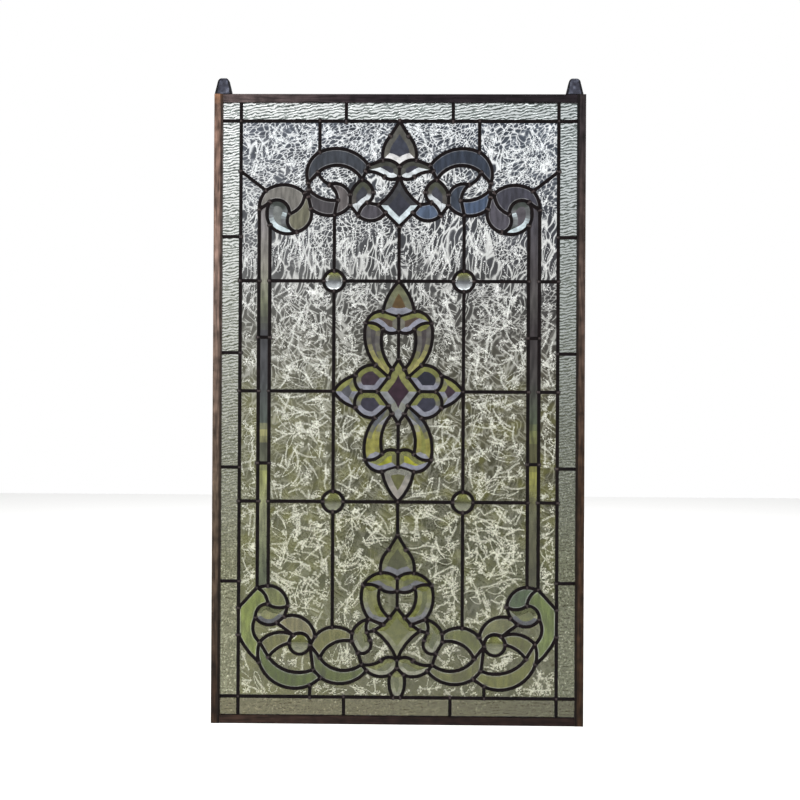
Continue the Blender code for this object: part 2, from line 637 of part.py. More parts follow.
def sink_webs(mesh, outlines):
    """Close some holes of a plate with a thinner web each, level with the middle of the plate."""
    owner = {joint_key(point): number for number, outline in enumerate(outlines) for point in outline}
    work = bmesh.new()
    work.from_mesh(mesh)

    def walls():
        upright = [face for face in work.faces if abs(face.normal.z) < PARALLEL]
        return [face for face in upright if all(joint_key(v.co) in owner for v in face.verts)]

    levels = (-GLASS_THICKNESS / 2, GLASS_THICKNESS / 2)
    for level in levels:
        faces = walls()
        cut = faces + [edge for face in faces for edge in face.edges]
        cut = list(dict.fromkeys(cut + [vertex for face in faces for vertex in face.verts]))
        bmesh.ops.bisect_plane(work, geom=cut, plane_co=(0, 0, level), plane_no=(0, 0, 1))
    sunk = [face for face in walls() if abs(face.calc_center_median().z) < GLASS_THICKNESS / 2]
    bmesh.ops.delete(work, geom=sunk, context="FACES")
    for level in levels:
        rim = {joint_key(v.co): v for v in work.verts if abs(v.co.z - level) < SAME_POINT}
        for outline in outlines:
            work.faces.new([rim[joint_key(point)] for point in outline])
    bmesh.ops.recalc_face_normals(work, faces=work.faces)
    work.to_mesh(mesh)
    work.free()


def build_leadwork(parts, lead, glass, net):
    """The soldered net of came with the small pieces of glass in it, and the separate panes."""
    places = pane_places()
    holes, small_glass = [], []
    for cell in net:
        hole = inset(cell)
        holes.append(hole)
        names = [name for name, place in places.items() if holds(hole, place)]
        if names:
            pane = plate(names[0], [inset(cell, GAP)], GLASS_THICKNESS)
            place_in(parts, pane, glass)
        else:
            small_glass.append(hole)
    half_width, foot, top = PANEL_WIDTH / 2 - LEAD_INSET, LEAD_INSET, PANEL_HEIGHT - LEAD_INSET
    rim = [(-half_width, foot), (half_width, foot), (half_width, top), (-half_width, top)]
    leadwork = place_in(parts, plate("leadwork", [rim] + holes, CAME_DEPTH), lead)
    sink_webs(leadwork.data, small_glass)


def build():
    clear_scene()
    parts = bpy.data.collections.new("stained_glass_window")
    bpy.context.scene.collection.children.link(parts)
    patina = material("brown_patina_channel", (0.075, 0.045, 0.033), 0.55, 0.7)
    lead = material("black_patina_lead", (0.014, 0.011, 0.010), 0.5, 0.6)
    glass = material("clear_glass", (0.5, 0.52, 0.46), 0.1, 0.0)
    strap = material("grey_solder_strap", (0.075, 0.08, 0.105), 0.45, 0.8)
    build_frame(parts, patina)
    edge = PANEL_WIDTH / 2 - LOOP_FOOT_WIDTH / 2
    build_loop(parts, "loop_left", LEFT_LOOP_INSET - edge, strap)
    build_loop(parts, "loop_right", edge - RIGHT_LOOP_INSET, strap)
    drawing = border() + field() + crown() + arch_and_scroll() + corner_scroll()
    drawing += centre_ornament() + foot_ornament() + swag()
    build_leadwork(parts, lead, glass, cells(mirrored(drawing)))


build()
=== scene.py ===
"""The look of a hanging window panel: bevelled, streaky, glue-chip and ripple glass in patinated came.

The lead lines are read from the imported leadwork, whose round stretches are drawn with straight
edges, and are made round again here. Lengths are in metres, but where a name or a comment says mm.
"""

import math
import random

import bmesh
import bpy
from mathutils import Matrix, Vector, noise


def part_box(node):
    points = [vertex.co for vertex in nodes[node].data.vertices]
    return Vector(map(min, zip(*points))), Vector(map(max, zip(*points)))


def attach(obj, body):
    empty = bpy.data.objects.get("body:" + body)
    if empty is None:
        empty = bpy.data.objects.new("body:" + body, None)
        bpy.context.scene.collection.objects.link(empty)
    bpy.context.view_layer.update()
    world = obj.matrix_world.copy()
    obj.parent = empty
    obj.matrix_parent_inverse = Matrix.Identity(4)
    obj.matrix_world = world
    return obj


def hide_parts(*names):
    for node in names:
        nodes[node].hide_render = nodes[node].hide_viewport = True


MM = 0.001

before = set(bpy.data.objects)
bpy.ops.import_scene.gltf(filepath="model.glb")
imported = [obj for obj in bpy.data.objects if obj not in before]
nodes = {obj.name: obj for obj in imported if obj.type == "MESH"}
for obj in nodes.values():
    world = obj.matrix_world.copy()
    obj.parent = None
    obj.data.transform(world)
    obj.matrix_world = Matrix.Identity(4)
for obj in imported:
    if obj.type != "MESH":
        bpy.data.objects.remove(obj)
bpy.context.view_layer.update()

# The panel's foot and head, its half width, the left bar's edge by the glass, and the front faces of
# lead and glass, as the frame has them
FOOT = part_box("frame_left")[0][2]
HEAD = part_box("frame_left")[1][2]
HALF_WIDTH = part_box("frame_right")[1][0]
LEAD_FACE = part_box("leadwork")[0][1]
GLASS_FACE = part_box("border_top_middle")[0][1]
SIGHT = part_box("frame_left")[1][0]

# Came: half its width, and its rounded section as pairs of distance from the glass and height over
# the panel's middle, in mm. The section runs on a little past the came's centre line, and at a sharp
# corner no further than LONGEST_MITRE times that. The glass is tucked into the came by TUCK.
HALF_CAME = 2.4 * MM
CAME_SECTION = ((0, 1.62), (0.25, 2.2), (0.95, 2.66), (2.4, 2.85), (3.2, 2.8))
TUCK = 0.9 * MM
LONGEST_MITRE = 1.3

# What tells a round stretch of lead line from a joint: how alike its sides are, and how much it turns.
# Then how fine it is drawn, and how near two corners lie that are one.
SAME_LENGTH = 0.04 * MM
LEAST_BEND = math.radians(2)
MOST_BEND = math.radians(47)
ARC_STEP = math.radians(10)
WELD = 0.02 * MM


def deselect():
    """Clear the selection that loading the frame or an earlier piece left."""
    for item in bpy.context.selected_objects:
        item.select_set(False)


def add_object(name, data):
    """An object of its own for a mesh, a lamp or a camera."""
    item = bpy.data.objects.new(name, data)
    bpy.context.scene.collection.objects.link(item)
    return item


def height(mm):
    """A height over the panel's foot, in millimetres, as a place in the frame."""
    return FOOT + mm * MM


def above_foot(z):
    """A height in the frame as millimetres over the panel's foot."""
    return (z - FOOT) / MM


# Reading the lead lines

def front_outlines():
    """Every opening in the face of the leadwork, anticlockwise seen from the front, small ones first.

    The largest one is the leadwork's own rim, which is left out.
    """
    work = bmesh.new()
    work.from_mesh(nodes["leadwork"].data)
    bmesh.ops.remove_doubles(work, verts=work.verts, dist=WELD)
    face_on = [f for f in work.faces
               if f.normal.y < -0.9 and abs(f.calc_center_median().y - LEAD_FACE) < WELD]
    uses = dict.fromkeys((loop.vert, loop.link_loop_next.vert) for face in face_on for loop in face.loops)
    after = {a: b for a, b in uses if (b, a) not in uses}
    loops = []
    while after:
        start = here = next(iter(after))
        loop = []
        while here in after:
            loop.append(Vector((here.co.x, here.co.z)))
            here = after.pop(here)
            if here is start:
                break
        loops.append(loop)
    work.free()
    loops.sort(key=lambda loop: abs(area(loop)))
    openings = loops[:-1]
    return [loop if area(loop) > 0 else loop[::-1] for loop in openings]


def sides_of(points):
    """The sides of a closed outline, as pairs of its neighbours."""
    return list(zip(points, points[1:] + points[:1]))


def corners_of(points):
    """The corners of a closed outline, each between its neighbours."""
    return list(zip(points[-1:] + points[:-1], points, points[1:] + points[:1]))


def area(points):
    """The area of a closed outline, below 0 where it runs clockwise."""
    return sum(a.cross(b) for a, b in sides_of(points)) / 2


def extent(points):
    """The least x and z of an outline, and its width and height."""
    xs, zs = [p.x for p in points], [p.y for p in points]
    return min(xs), min(zs), max(xs) - min(xs), max(zs) - min(zs)


def along(a, b):
    return (b - a).normalized()


def left_of(direction):
    return Vector((-direction.y, direction.x))


def meeting(point, direction, other, other_direction):
    """Where two lines cross, or halfway between their points where they are parallel."""
    turn = direction.cross(other_direction)
    if abs(turn) < 1e-3:
        return (point + other) / 2
    return point + direction * ((other - point).cross(other_direction) / turn)


def widened(points, by):
    """A closed outline with every side moved outwards."""
    moved = []
    for before, here, after in corners_of(points):
        first, second = along(before, here), along(here, after)
        moved.append(meeting(here + left_of(first) * -by, first, here + left_of(second) * -by, second))
    return moved


def narrowed(points, by):
    """A closed outline with every side moved inwards; sides that the move uses up drop out.

    Also tells, for every old corner, which new corner it went to.
    """
    sides = []
    for index, (start, end) in enumerate(sides_of(points)):
        direction = along(start, end)
        sides.append((index, start, end, direction, left_of(direction) * by))
    while len(sides) > 2:
        corners, moved = [], []
        for before, side, _ in corners_of(sides):
            corners.append(meeting(before[2], before[3], side[1], side[3]))
            moved.append(meeting(before[2] + before[4], before[3], side[1] + side[4], side[3]))
        worst, gone = 1.0, None
        for index, side in enumerate(sides):
            after = (index + 1) % len(sides)
            length = (corners[after] - corners[index]).dot(side[3])
            left = (moved[after] - moved[index]).dot(side[3])
            if left < 0:
                share = length / (length - left)
                if share < worst or gone is None:
                    worst, gone = share, index
        if gone is None:
            break
        sides.pop(gone)
    if len(sides) < 3:
        return [], []
    went = []
    for index in range(len(points)):
        went.append(next((k for k, side in enumerate(sides) if side[0] >= index), 0))
    return moved, went


def round_through(first, middle, last):
    """The points after first on the circle through three points, close enough to look round."""
    one, two = middle - first, last - first
    twice = 2 * one.cross(two)
    if abs(twice) < 1e-9:
        return [last]
    centre = first + Vector((two.y * one.length_squared - one.y * two.length_squared,
                             one.x * two.length_squared - two.x * one.length_squared)) / twice
    spoke = first - centre
    begin = math.atan2(spoke.y, spoke.x)
    finish = math.atan2(last.y - centre.y, last.x - centre.x)
    sweep = (finish - begin) % (2 * math.pi)
    if (middle - first).cross(last - middle) < 0:
        sweep -= 2 * math.pi
    steps = max(2, math.ceil(abs(sweep) / ARC_STEP))
    angles = [begin + sweep * step / steps for step in range(1, steps)]
    between = [centre + spoke.length * Vector((math.cos(a), math.sin(a))) for a in angles]
    return between + [last]


def joints_of(line):
    """Which corners of a centre line of came are joints.

    The corners inside one round stretch lie between equal sides and turn a little; every other
    corner is a joint of the lead lines.
    """
    joints = []
    for index, (before, here, after) in enumerate(corners_of(line)):
        first, second = here - before, after - here
        alike = abs(first.length - second.length) < SAME_LENGTH
        if not (alike and LEAST_BEND < abs(first.angle(second)) < MOST_BEND):
            joints.append(index)
    return joints


def made_round(hole):
    """A cell's opening with its round stretches round, from the straight-sided one of the frame."""
    line = widened(hole, HALF_CAME)
    count = len(line)
    joints = joints_of(line)
    if not joints:
        third = count // 3
        dense = round_through(line[0], line[third], line[2 * third])
        dense += round_through(line[2 * third], line[(2 * third + count) // 2], line[0])
    else:
        dense = []
        for first, last in zip(joints, joints[1:] + [joints[0] + count]):
            if last - first == 1:
                dense.append(line[last % count])
            else:
                middle = (first + last) // 2
                dense += round_through(line[first], line[middle % count], line[last % count])
    return narrowed(dense, HALF_CAME)[0]


def goes_round(points, place):
    """Whether an outline goes round a place."""
    inside = False
    for a, b in sides_of(points):
        if (a.y > place.y) != (b.y > place.y):
            if place.x < a.x + (place.y - a.y) / (b.y - a.y) * (b.x - a.x):
                inside = not inside
    return inside


# Making pieces

def make_piece(name, points, faces, materials, kinds=None, tints=None, smooth=None):
    """A mesh piece from its corners and faces, with a material and a tint for each face."""
    mesh = bpy.data.meshes.new(name)
    mesh.from_pydata(points, [], faces)
    for material in materials:
        mesh.materials.append(material)
    if kinds:
        mesh.polygons.foreach_set("material_index", kinds)
    if tints:
        layer = mesh.color_attributes.new("tint", "FLOAT_COLOR", "CORNER")
        values = []
        for polygon in mesh.polygons:
            values += (*tints[polygon.index], 1.0) * polygon.loop_total
        layer.data.foreach_set("color", values)
    mesh.validate()
    piece = add_object(name, mesh)
    if smooth:
        deselect()
        piece.select_set(True)
        bpy.context.view_layer.objects.active = piece
        bpy.ops.object.shade_smooth_by_angle(angle=math.radians(smooth))
    return piece


def dress(piece, slot, *replaced):
    """Let a piece ride on the panel in place of its CAD nodes; its slot is not used."""
    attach(piece, "root")
    if replaced:
        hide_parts(*replaced)
    return piece


class Shell:
    """Corners and faces of several closed shells that make one piece."""

    def __init__(self):
        self.points, self.faces, self.kinds, self.tints = [], [], [], []

    def corner(self, flat, y):
        self.points.append((flat.x, y, flat.y))
        return len(self.points) - 1

    def face(self, corners, kind=0, tint=(1, 1, 1)):
        self.faces.append(corners)
        self.kinds.append(kind)
        self.tints.append(tint)

    def band(self, ring, other, tint=(1, 1, 1), closed=True):
        """Faces between two rings of corners, or between two open rows of them."""
        pairs = list(zip(sides_of(ring), sides_of(other)))
        for (start, end), (other_start, other_end) in pairs if closed else pairs[:-1]:
            self.face((start, end, other_end, other_start), 0, tint)

    def piece(self, name, materials, smooth=None):
        return make_piece(name, self.points, self.faces, materials, self.kinds, self.tints, smooth)


def add_came(shell, hole):
    """Half of the came around one opening, with the round face on both sides."""
    section = [(d * MM, -h * MM) for d, h in CAME_SECTION]
    section += [(d, -h) for d, h in reversed(section)]
    arms = []
    for before, here, after in corners_of(hole):
        first, second = along(before, here), along(here, after)
        arms.append(here - meeting(here + left_of(first), first, here + left_of(second), second))
    rings = []
    for here, arm in zip(hole, arms):
        ring = []
        for distance, y in section:
            inner = min(distance, HALF_CAME)
            past = (distance - inner) * min(arm.length, LONGEST_MITRE) / arm.length
            ring.append(shell.corner(here + arm * (inner + past), y))
        rings.append(ring)
    for ring, other in sides_of(rings):
        shell.band(ring, other)


def add_slab(shell, outline):
    """A flat pane, as thick as the glass."""
    near = [shell.corner(point, GLASS_FACE) for point in outline]
    far = [shell.corner(point, -GLASS_FACE) for point in outline]
    shell.face(near)
    shell.face(far[::-1])
    shell.band(far, near)


# Rolled ripples: how far apart they stand, how high they are, and how wide and high the cells are
# that they are drawn in
RIPPLE_GAP = 4.1 * MM
RIPPLE_RISE = 0.32 * MM
RIPPLE_CELL = Vector((3.2, 1.0)) * MM


def ripple_rise(x, z):
    """How far the rolled front stands forward at a place."""
    wander = noise.noise(Vector((x / (17 * MM), z / (11 * MM), 0)))
    fade = 0.7 + 0.5 * noise.noise(Vector((x / (9 * MM), z / (9 * MM), 5)))
    return RIPPLE_RISE * fade * (0.5 + 0.5 * math.sin(math.tau * (z / RIPPLE_GAP + 1.3 * wander)))


def add_rippled(shell, outline):
    """An upright rectangle of rolled glass: ripples run across its front, and its back is flat."""
    left, low, across, rise = extent(outline)
    columns = max(2, round(across / RIPPLE_CELL.x))
    rows = max(2, round(rise / RIPPLE_CELL.y))
    front, back = [], []
    for row in range(rows + 1):
        z = low + rise * row / rows
        near, far = [], []
        for column in range(columns + 1):
            x = left + across * column / columns
            inside = 0 < row < rows and 0 < column < columns
            near.append(shell.corner(Vector((x, z)), GLASS_FACE - (ripple_rise(x, z) if inside else 0)))
            far.append(shell.corner(Vector((x, z)), -GLASS_FACE))
        front.append(near)
        back.append(far)
    for row in range(rows):
        shell.band(front[row], front[row + 1], closed=False)
        shell.band(back[row + 1], back[row], closed=False)
    near, far = [grid[0] + [line[-1] for line in grid[1:]] + grid[-1][-2::-1]
                 + [line[0] for line in grid[-2:0:-1]] for grid in (front, back)]
    shell.band(far, near)


# How long the lengths are in which the tint of a strip changes
STRIP_STEP = 9 * MM


def add_strip(shell, outline):
    """A long upright strip, in short lengths of glass so that its tint can change on its way."""
    left, foot, _, rise = extent(outline)
    rows = max(2, round(rise / STRIP_STEP))
    right = max(point.x for point in outline)
    ends = ((left, GLASS_FACE), (right, GLASS_FACE), (right, -GLASS_FACE), (left, -GLASS_FACE))
    rings = []
    for row in range(rows + 1):
        z = foot + rise * row / rows
        rings.append((z, [shell.corner(Vector((x, z)), y) for x, y in ends]))
    for (low, ring), (high, other) in zip(rings, rings[1:]):
        tint = view_colour(STRIP_VIEWS, Vector((left, (low + high) / 2)))
        shell.band(ring, other, tint)
    shell.face(rings[0][1][::-1], 0, tint)
    shell.face(rings[-1][1], 0, tint)


# The least share of a bevelled piece that its flat middle takes, and how much narrower its slopes
# get at a time until it does
LEAST_TABLE = 0.06
NARROWER = 0.85


def add_bevelled(shell, outline, width, rise, tint_of):
    """A bevelled piece: a flat middle that stands forward, and ground slopes down to the edge.

    Light crosses two faces and takes the root of each one's tint, so the front has the tint squared
    and the back none.
    """
    inner, went = narrowed(outline, width)
    while not inner or area(inner) < LEAST_TABLE * area(outline):
        width *= NARROWER
        inner, went = narrowed(outline, width)
    edge = [shell.corner(point, GLASS_FACE) for point in outline]
    far = [shell.corner(point, -GLASS_FACE) for point in outline]
    table = [shell.corner(point, GLASS_FACE - rise) for point in inner]
    shell.face(table, 0, [value * value for value in tint_of(None)])
    shell.face(far[::-1])
    ends = list(zip(outline, edge, [table[place] for place in went]))
    for (start, foot, crest), (end, next_foot, next_crest) in sides_of(ends):
        tint = [value * value for value in tint_of(-left_of(along(start, end)))]
        slope = (foot, next_foot, next_crest, crest)
        shell.face(slope[:3] if crest == next_crest else slope, 0, tint)
    shell.band(far, edge)


# Glue-chip marks

# How high a torn mark stands, how deep its foot is sunk, and the length of one step of a fern
MARK_RISE = 0.22 * MM
MARK_SINK = 0.05 * MM
FERN_STEP = 3.8 * MM

# How far apart the marks stand: up to a height over the foot, and the spacing there, in mm. Just under
# the crown they stand nearly upright.
MARK_SPACINGS = ((330, 9.7), (560, 11.2), (730, 14), (1000, 12))
UPRIGHT_BAND = (625, 730)


def towards(place, angle, length):
    """The place at a length from another, in the direction of an angle."""
    return place + Vector((math.cos(angle), math.sin(angle))) * length


def add_stroke(shell, start, end, width_mm, inside):
    """One torn sliver on the front of the glass: a low ridge with a lozenge outline."""
    if not (inside(start) and inside(end)):
        return
    side = left_of(along(start, end)) * width_mm * MM / 2
    belly = start.lerp(end, 0.4)
    corners = (start, belly - side, end, belly + side)
    foot = [shell.corner(point, GLASS_FACE + MARK_SINK) for point in corners]
    crest = shell.corner(belly, GLASS_FACE - MARK_RISE)
    shell.face(foot[::-1], 1)
    for k in range(4):
        shell.face((foot[k], foot[(k + 1) % 4], crest), 1)


def add_fern(shell, root, heading, dice, inside):
    """A fern: a bowed spine with pairs of barbs that get shorter to its tip."""
    steps = dice.randint(4, 10)
    bow = dice.uniform(-1.1, 1.1) / steps
    here = root
    for step in range(steps):
        tip = towards(here, heading, FERN_STEP)
        add_stroke(shell, here, towards(tip, heading, 1.2 * MM), dice.uniform(0.7, 1.0), inside)
        for side in (-1, 1):
            for share in (0.15, 0.65):
                reach = (1.6 + 3 * (1 - step / steps) * dice.random()) * MM
                foot = here.lerp(tip, share + dice.uniform(-0.1, 0.1))
                lean = heading + side * math.radians(dice.uniform(40, 60))
                add_stroke(shell, foot, towards(foot, lean, reach), dice.uniform(0.6, 0.9), inside)
        here = tip
        heading += bow


def add_star(shell, root, heading, dice, inside):
    """A star: short slivers all round one place, some with a barb."""
    rays = dice.randint(5, 8)
    for ray in range(rays):
        angle = heading + 2 * math.pi * (ray + dice.uniform(-0.3, 0.3)) / rays
        reach = dice.uniform(3, 9) * MM
        add_stroke(shell, root, towards(root, angle, reach), dice.uniform(0.7, 1.15), inside)
        for side in (-1, 1):
            foot = towards(root, angle, reach * dice.uniform(0.35, 0.6))
            lean = angle + side * math.radians(50)
            add_stroke(shell, foot, towards(foot, lean, reach * 0.38), 0.7, inside)


def add_leaf(shell, root, heading, dice, inside):
    """The outline of a smooth leaf-shaped flake: two bowed rows of slivers that meet at its tip."""
    length, bulge = dice.uniform(18, 42) * MM, dice.uniform(2.6, 5.5) * MM
    side_way = towards(Vector((0, 0)), heading + math.pi / 2, 1)
    steps = 7
    for side in (-1, 1):
        row = []
        for step in range(steps + 1):
            share = step / steps
            out = math.sin(math.pi * share ** 0.8) * bulge * side
            row.append(towards(root, heading, length * share) + side_way * out)
        for start, end in zip(row, row[1:]):
            add_stroke(shell, start, start.lerp(end, 1.25), dice.uniform(0.6, 0.9), inside)
            barb = towards(end, heading - side * dice.uniform(0.5, 0.9), -dice.uniform(1.5, 3) * MM)
            add_stroke(shell, end, barb, 0.7, inside)


def add_chip_marks(shell, outline, dice):
    """The marks that drying glue tears out of glue-chip glass: ferns, stars and leaf-shaped flakes."""
    left, low, across, rise = extent(outline)
    right, high = max(point.x for point in outline), max(point.y for point in outline)
    level = above_foot((low + high) / 2)
    spacing = next(gap for top, gap in MARK_SPACINGS if level < top) * MM
    count = max(3, round(across * rise / spacing ** 2))

    def inside(place):
        return goes_round(outline, place)

    for _ in range(count):
        root = Vector((dice.uniform(left, right), dice.uniform(low, high)))
        if not inside(root):
            continue
        heading = dice.uniform(0, 2 * math.pi)
        marks = (add_fern, add_fern, add_fern, add_star, add_star, add_leaf)
        if UPRIGHT_BAND[0] < above_foot(root.y) < UPRIGHT_BAND[1]:
            heading, marks = math.pi / 2 + dice.uniform(-0.5, 0.5), (add_fern, add_leaf, add_leaf)
        dice.choice(marks)(shell, root, heading, dice, inside)


# Materials

def linear(colour):
    """A hex colour as the linear values that a shader takes."""
    channels = [int(colour[k:k + 2], 16) / 255 for k in (1, 3, 5)]
    bent = [c / 12.92 if c <= 0.04045 else ((c + 0.055) / 1.055) ** 2.4 for c in channels]
    return (*bent, 1.0)


def connect(material, node, **inputs):
    """Give a node's inputs plain values, or link them to other nodes' outputs."""
    for name, value in inputs.items():
        socket = next(s for s in node.inputs if s.enabled and s.name == name.replace("_", " "))
        if isinstance(value, bpy.types.NodeSocket):
            material.node_tree.links.new(value, socket)
        else:
            socket.default_value = value


def add(material, kind, settings=(), stops=(), output=None, **inputs):
    """One node with its settings, its ramp's stops and its inputs; gives back one of its outputs."""
    node = material.node_tree.nodes.new(f"ShaderNode{kind}")
    for key, value in dict(settings).items():
        setattr(node, key, value)
    elements = node.color_ramp.elements if stops else ()
    while len(elements) < len(stops):
        elements.new(0.5)
    for element, (place, colour) in zip(elements, stops):
        element.position, element.color = place, linear(colour)
    connect(material, node, **inputs)
    return next(s for s in node.outputs if s.enabled and output in (None, s.name))


def new_material(name, **values):
    """A material with a Principled shader and the plain values that it has all over."""
    material = bpy.data.materials.new(name)
    material.use_nodes = True
    shader = material.node_tree.nodes["Principled BSDF"]
    connect(material, shader, **values)
    return material, shader


def new_glass(name, roughness):
    """Clear soda-lime glass: what is behind it shows bent and tinted, with little shine on it."""
    return new_material(name, Roughness=roughness, IOR=1.52, Transmission_Weight=1.0,
                        Specular_IOR_Level=0.2)


BLACK, WHITE = "#000000", "#ffffff"
COLOURS = {"data_type": "RGBA"}
TIMES = {"data_type": "RGBA", "blend_type": "MULTIPLY"}


def share_of_height(material, here):
    """How high a place is, from 0 at the panel's foot to 1 at its top."""
    z = add(material, "SeparateXYZ", output="Z", Vector=here)
    return add(material, "MapRange", Value=z, From_Min=FOOT, From_Max=HEAD)


def share_of_width(material, here):
    """How far to the right a place is, from 0 at the left edge to 1 at the right."""
    x = add(material, "SeparateXYZ", output="X", Vector=here)
    return add(material, "MapRange", Value=x, From_Min=-HALF_WIDTH, From_Max=HALF_WIDTH)


def patches(material, here, size_mm, detail=3.0, stretch=(1, 1, 1), turn=(0, 0, 0), roughness=0.5):
    """Uneven patches about size_mm across, drawn out by stretch."""
    scale = [1 / (size_mm * MM * s) for s in stretch]
    place = add(material, "Mapping", Vector=here, Scale=scale, Rotation=turn)
    return add(material, "TexNoise", Vector=place, Scale=1.0, Detail=detail, Roughness=roughness)


def pushed(material, here, size_mm, push_mm):
    """Places pushed about unevenly, so that straight edges turn ragged."""
    place = add(material, "Mapping", Vector=here, Scale=[1 / (size_mm * MM)] * 3)
    clouds = add(material, "TexNoise", output="Color", Vector=place, Scale=1.0)
    push = add(material, "MapRange", {"data_type": "FLOAT_VECTOR"}, output="Vector", Vector=clouds,
               To_Min=[-push_mm * MM] * 3, To_Max=[push_mm * MM] * 3)
    return add(material, "Mapping", Vector=here, Location=push)


def flakes(material, here, long_mm, short_mm, turn_degrees):
    """How near a place is to the edge of a flake; the flakes are long_mm by short_mm."""
    turned = add(material, "Mapping", Vector=here, Rotation=(0, math.radians(turn_degrees), 0))
    scaled = add(material, "Mapping", Vector=turned, Scale=(1 / (long_mm * MM), 20, 1 / (short_mm * MM)))
    return add(material, "TexVoronoi", {"feature": "DISTANCE_TO_EDGE"}, output="Distance",
               Vector=scaled, Scale=1.0)


# Glue-chip glass from the panel's foot (0) to its top (1): its tint on the left and on the right, the
# colour and the strength of its torn edges, painted pale as the light that they scatter, how much
# grass shows, how far its flakes may lie across, and where the small flakes get dense
CHIP_HEIGHT_RAMPS = (
    ((0.0, "#646338"), (0.25, "#636440"), (0.48, "#84846a"), (0.62, "#78776e"), (0.76, "#727477"),
     (0.95, "#656b76")),
    ((0.0, "#575736"), (0.25, "#4d4f34"), (0.48, "#635f48"), (0.62, "#524f4b"), (0.76, "#4a4c53"),
     (0.95, "#56606e")),
    ((0.0, "#cfcfb4"), (0.4, "#dedecb"), (0.7, "#eff0ec"), (0.95, "#fafdff")),
    ((0.0, "#4c4c4c"), (0.3, "#606060"), (0.6, "#b0b0b0"), (0.8, "#f4f4f4")),
    ((0.1, "#202020"), (0.27, "#a0a0a0"), (0.36, "#d0d0d0"), (0.48, "#d0d0d0"), (0.6, "#202020"),
     (0.75, BLACK)),
    ((0.66, WHITE), (0.7, "#303030"), (0.79, "#303030"), (0.84, WHITE)),
    ((0.78, BLACK), (0.86, WHITE)))


def glue_chip_glass():
    """Clear float glass, 3 mm, glue-chipped: see-through flakes with torn edges between them that are
    painted bright, as the light they scatter.

    Its tint is that of the trees, grass and sky that it is seen against.
    """
    material, shader = new_glass("glue_chip_float_glass", 0.05)
    here = add(material, "TexCoord", output="Object")
    high = share_of_height(material, here)
    wide = share_of_width(material, here)
    left, right, edge, strength, low, leaning, top = [
        add(material, "ValToRGB", Fac=high, stops=stops) for stops in CHIP_HEIGHT_RAMPS]
    tone = add(material, "Mix", COLOURS, Factor=wide, A=left, B=right)
    middle = add(material, "ValToRGB", Fac=wide, stops=(
        (0.12, WHITE), (0.28, "#f6f6f6"), (0.37, "#dadada"), (0.63, "#dadada"), (0.8, "#efefef")))
    clouds = add(material, "ValToRGB", Fac=patches(material, here, 30),
                 stops=((0.3, "#bcbcbc"), (0.7, WHITE)))
    for shade in (middle, clouds):
        tone = add(material, "Mix", TIMES, Factor=1.0, A=tone, B=shade)
    grass = add(material, "ValToRGB", Fac=patches(material, here, 24, 2, turn=(0.7, 0.2, 0)),
                stops=((0.48, BLACK), (0.62, "#b0b0b0")))
    grass = add(material, "Mix", TIMES, Factor=1.0, A=grass, B=low)
    tone = add(material, "Mix", COLOURS, Factor=grass, A=tone, B=linear("#8b8a3e"))
    bowed = pushed(material, pushed(material, here, 60, 16), 3.4, 0.6)
    split = add(material, "ValToRGB", Fac=patches(material, here, 30, 1),
                stops=((0.49, BLACK), (0.51, WHITE)))
    split = add(material, "Mix", TIMES, Factor=1.0, A=split, B=leaning)
    near = add(material, "Mix", COLOURS, Factor=split, A=flakes(material, bowed, 32, 7.4, 78),
               B=flakes(material, bowed, 22, 6.4, -35))
    spread = patches(material, here, 40, 1, turn=(0.3, 0.5, 0))
    few, many = [add(material, "ValToRGB", Fac=spread, stops=((start, BLACK), (start + 0.05, WHITE)))
                 for start in (0.55, 0.42)]
    dense = add(material, "Mix", COLOURS, Factor=top, A=few, B=many)
    near = add(material, "Mix", COLOURS, Factor=dense, A=near, B=flakes(material, bowed, 8.0, 4.2, 25))
    # Painted light: the torn edges take a pale colour for the light that they scatter.
    torn = add(material, "ValToRGB", Fac=near, stops=((0.04, WHITE), (0.115, BLACK)))
    torn = add(material, "Mix", TIMES, Factor=1.0, A=torn, B=strength)
    tone = add(material, "Mix", COLOURS, Factor=torn, A=tone, B=edge)
    relief = add(material, "Bump", Height=near, Distance=0.4 * MM)
    connect(material, shader, Base_Color=tone, Normal=relief)
    return material


def chip_marks():
    """The torn, frosted bottoms of the larger glue-chip marks: white, rough and unpolished."""
    material, shader = new_material("frosted_chip_marks", Roughness=0.55, IOR=1.52)
    here = add(material, "TexCoord", output="Object")
    tone = add(material, "ValToRGB", Fac=share_of_height(material, here), stops=(
        (0.0, "#d0d0ba"), (0.3, "#d6d6c4"), (0.5, "#dedfd3"), (0.7, "#e6e7e5"), (0.95, "#f4f8fa")))
    grain = add(material, "ValToRGB", Fac=patches(material, here, 3),
                stops=((0.35, "#d4d4d4"), (0.65, WHITE)))
    connect(material, shader, Base_Color=add(material, "Mix", TIMES, Factor=1.0, A=tone, B=grain))
    return material


# How far apart the bands of a wave texture are where its scale is 1, in metres
WAVE_PERIOD = 0.314


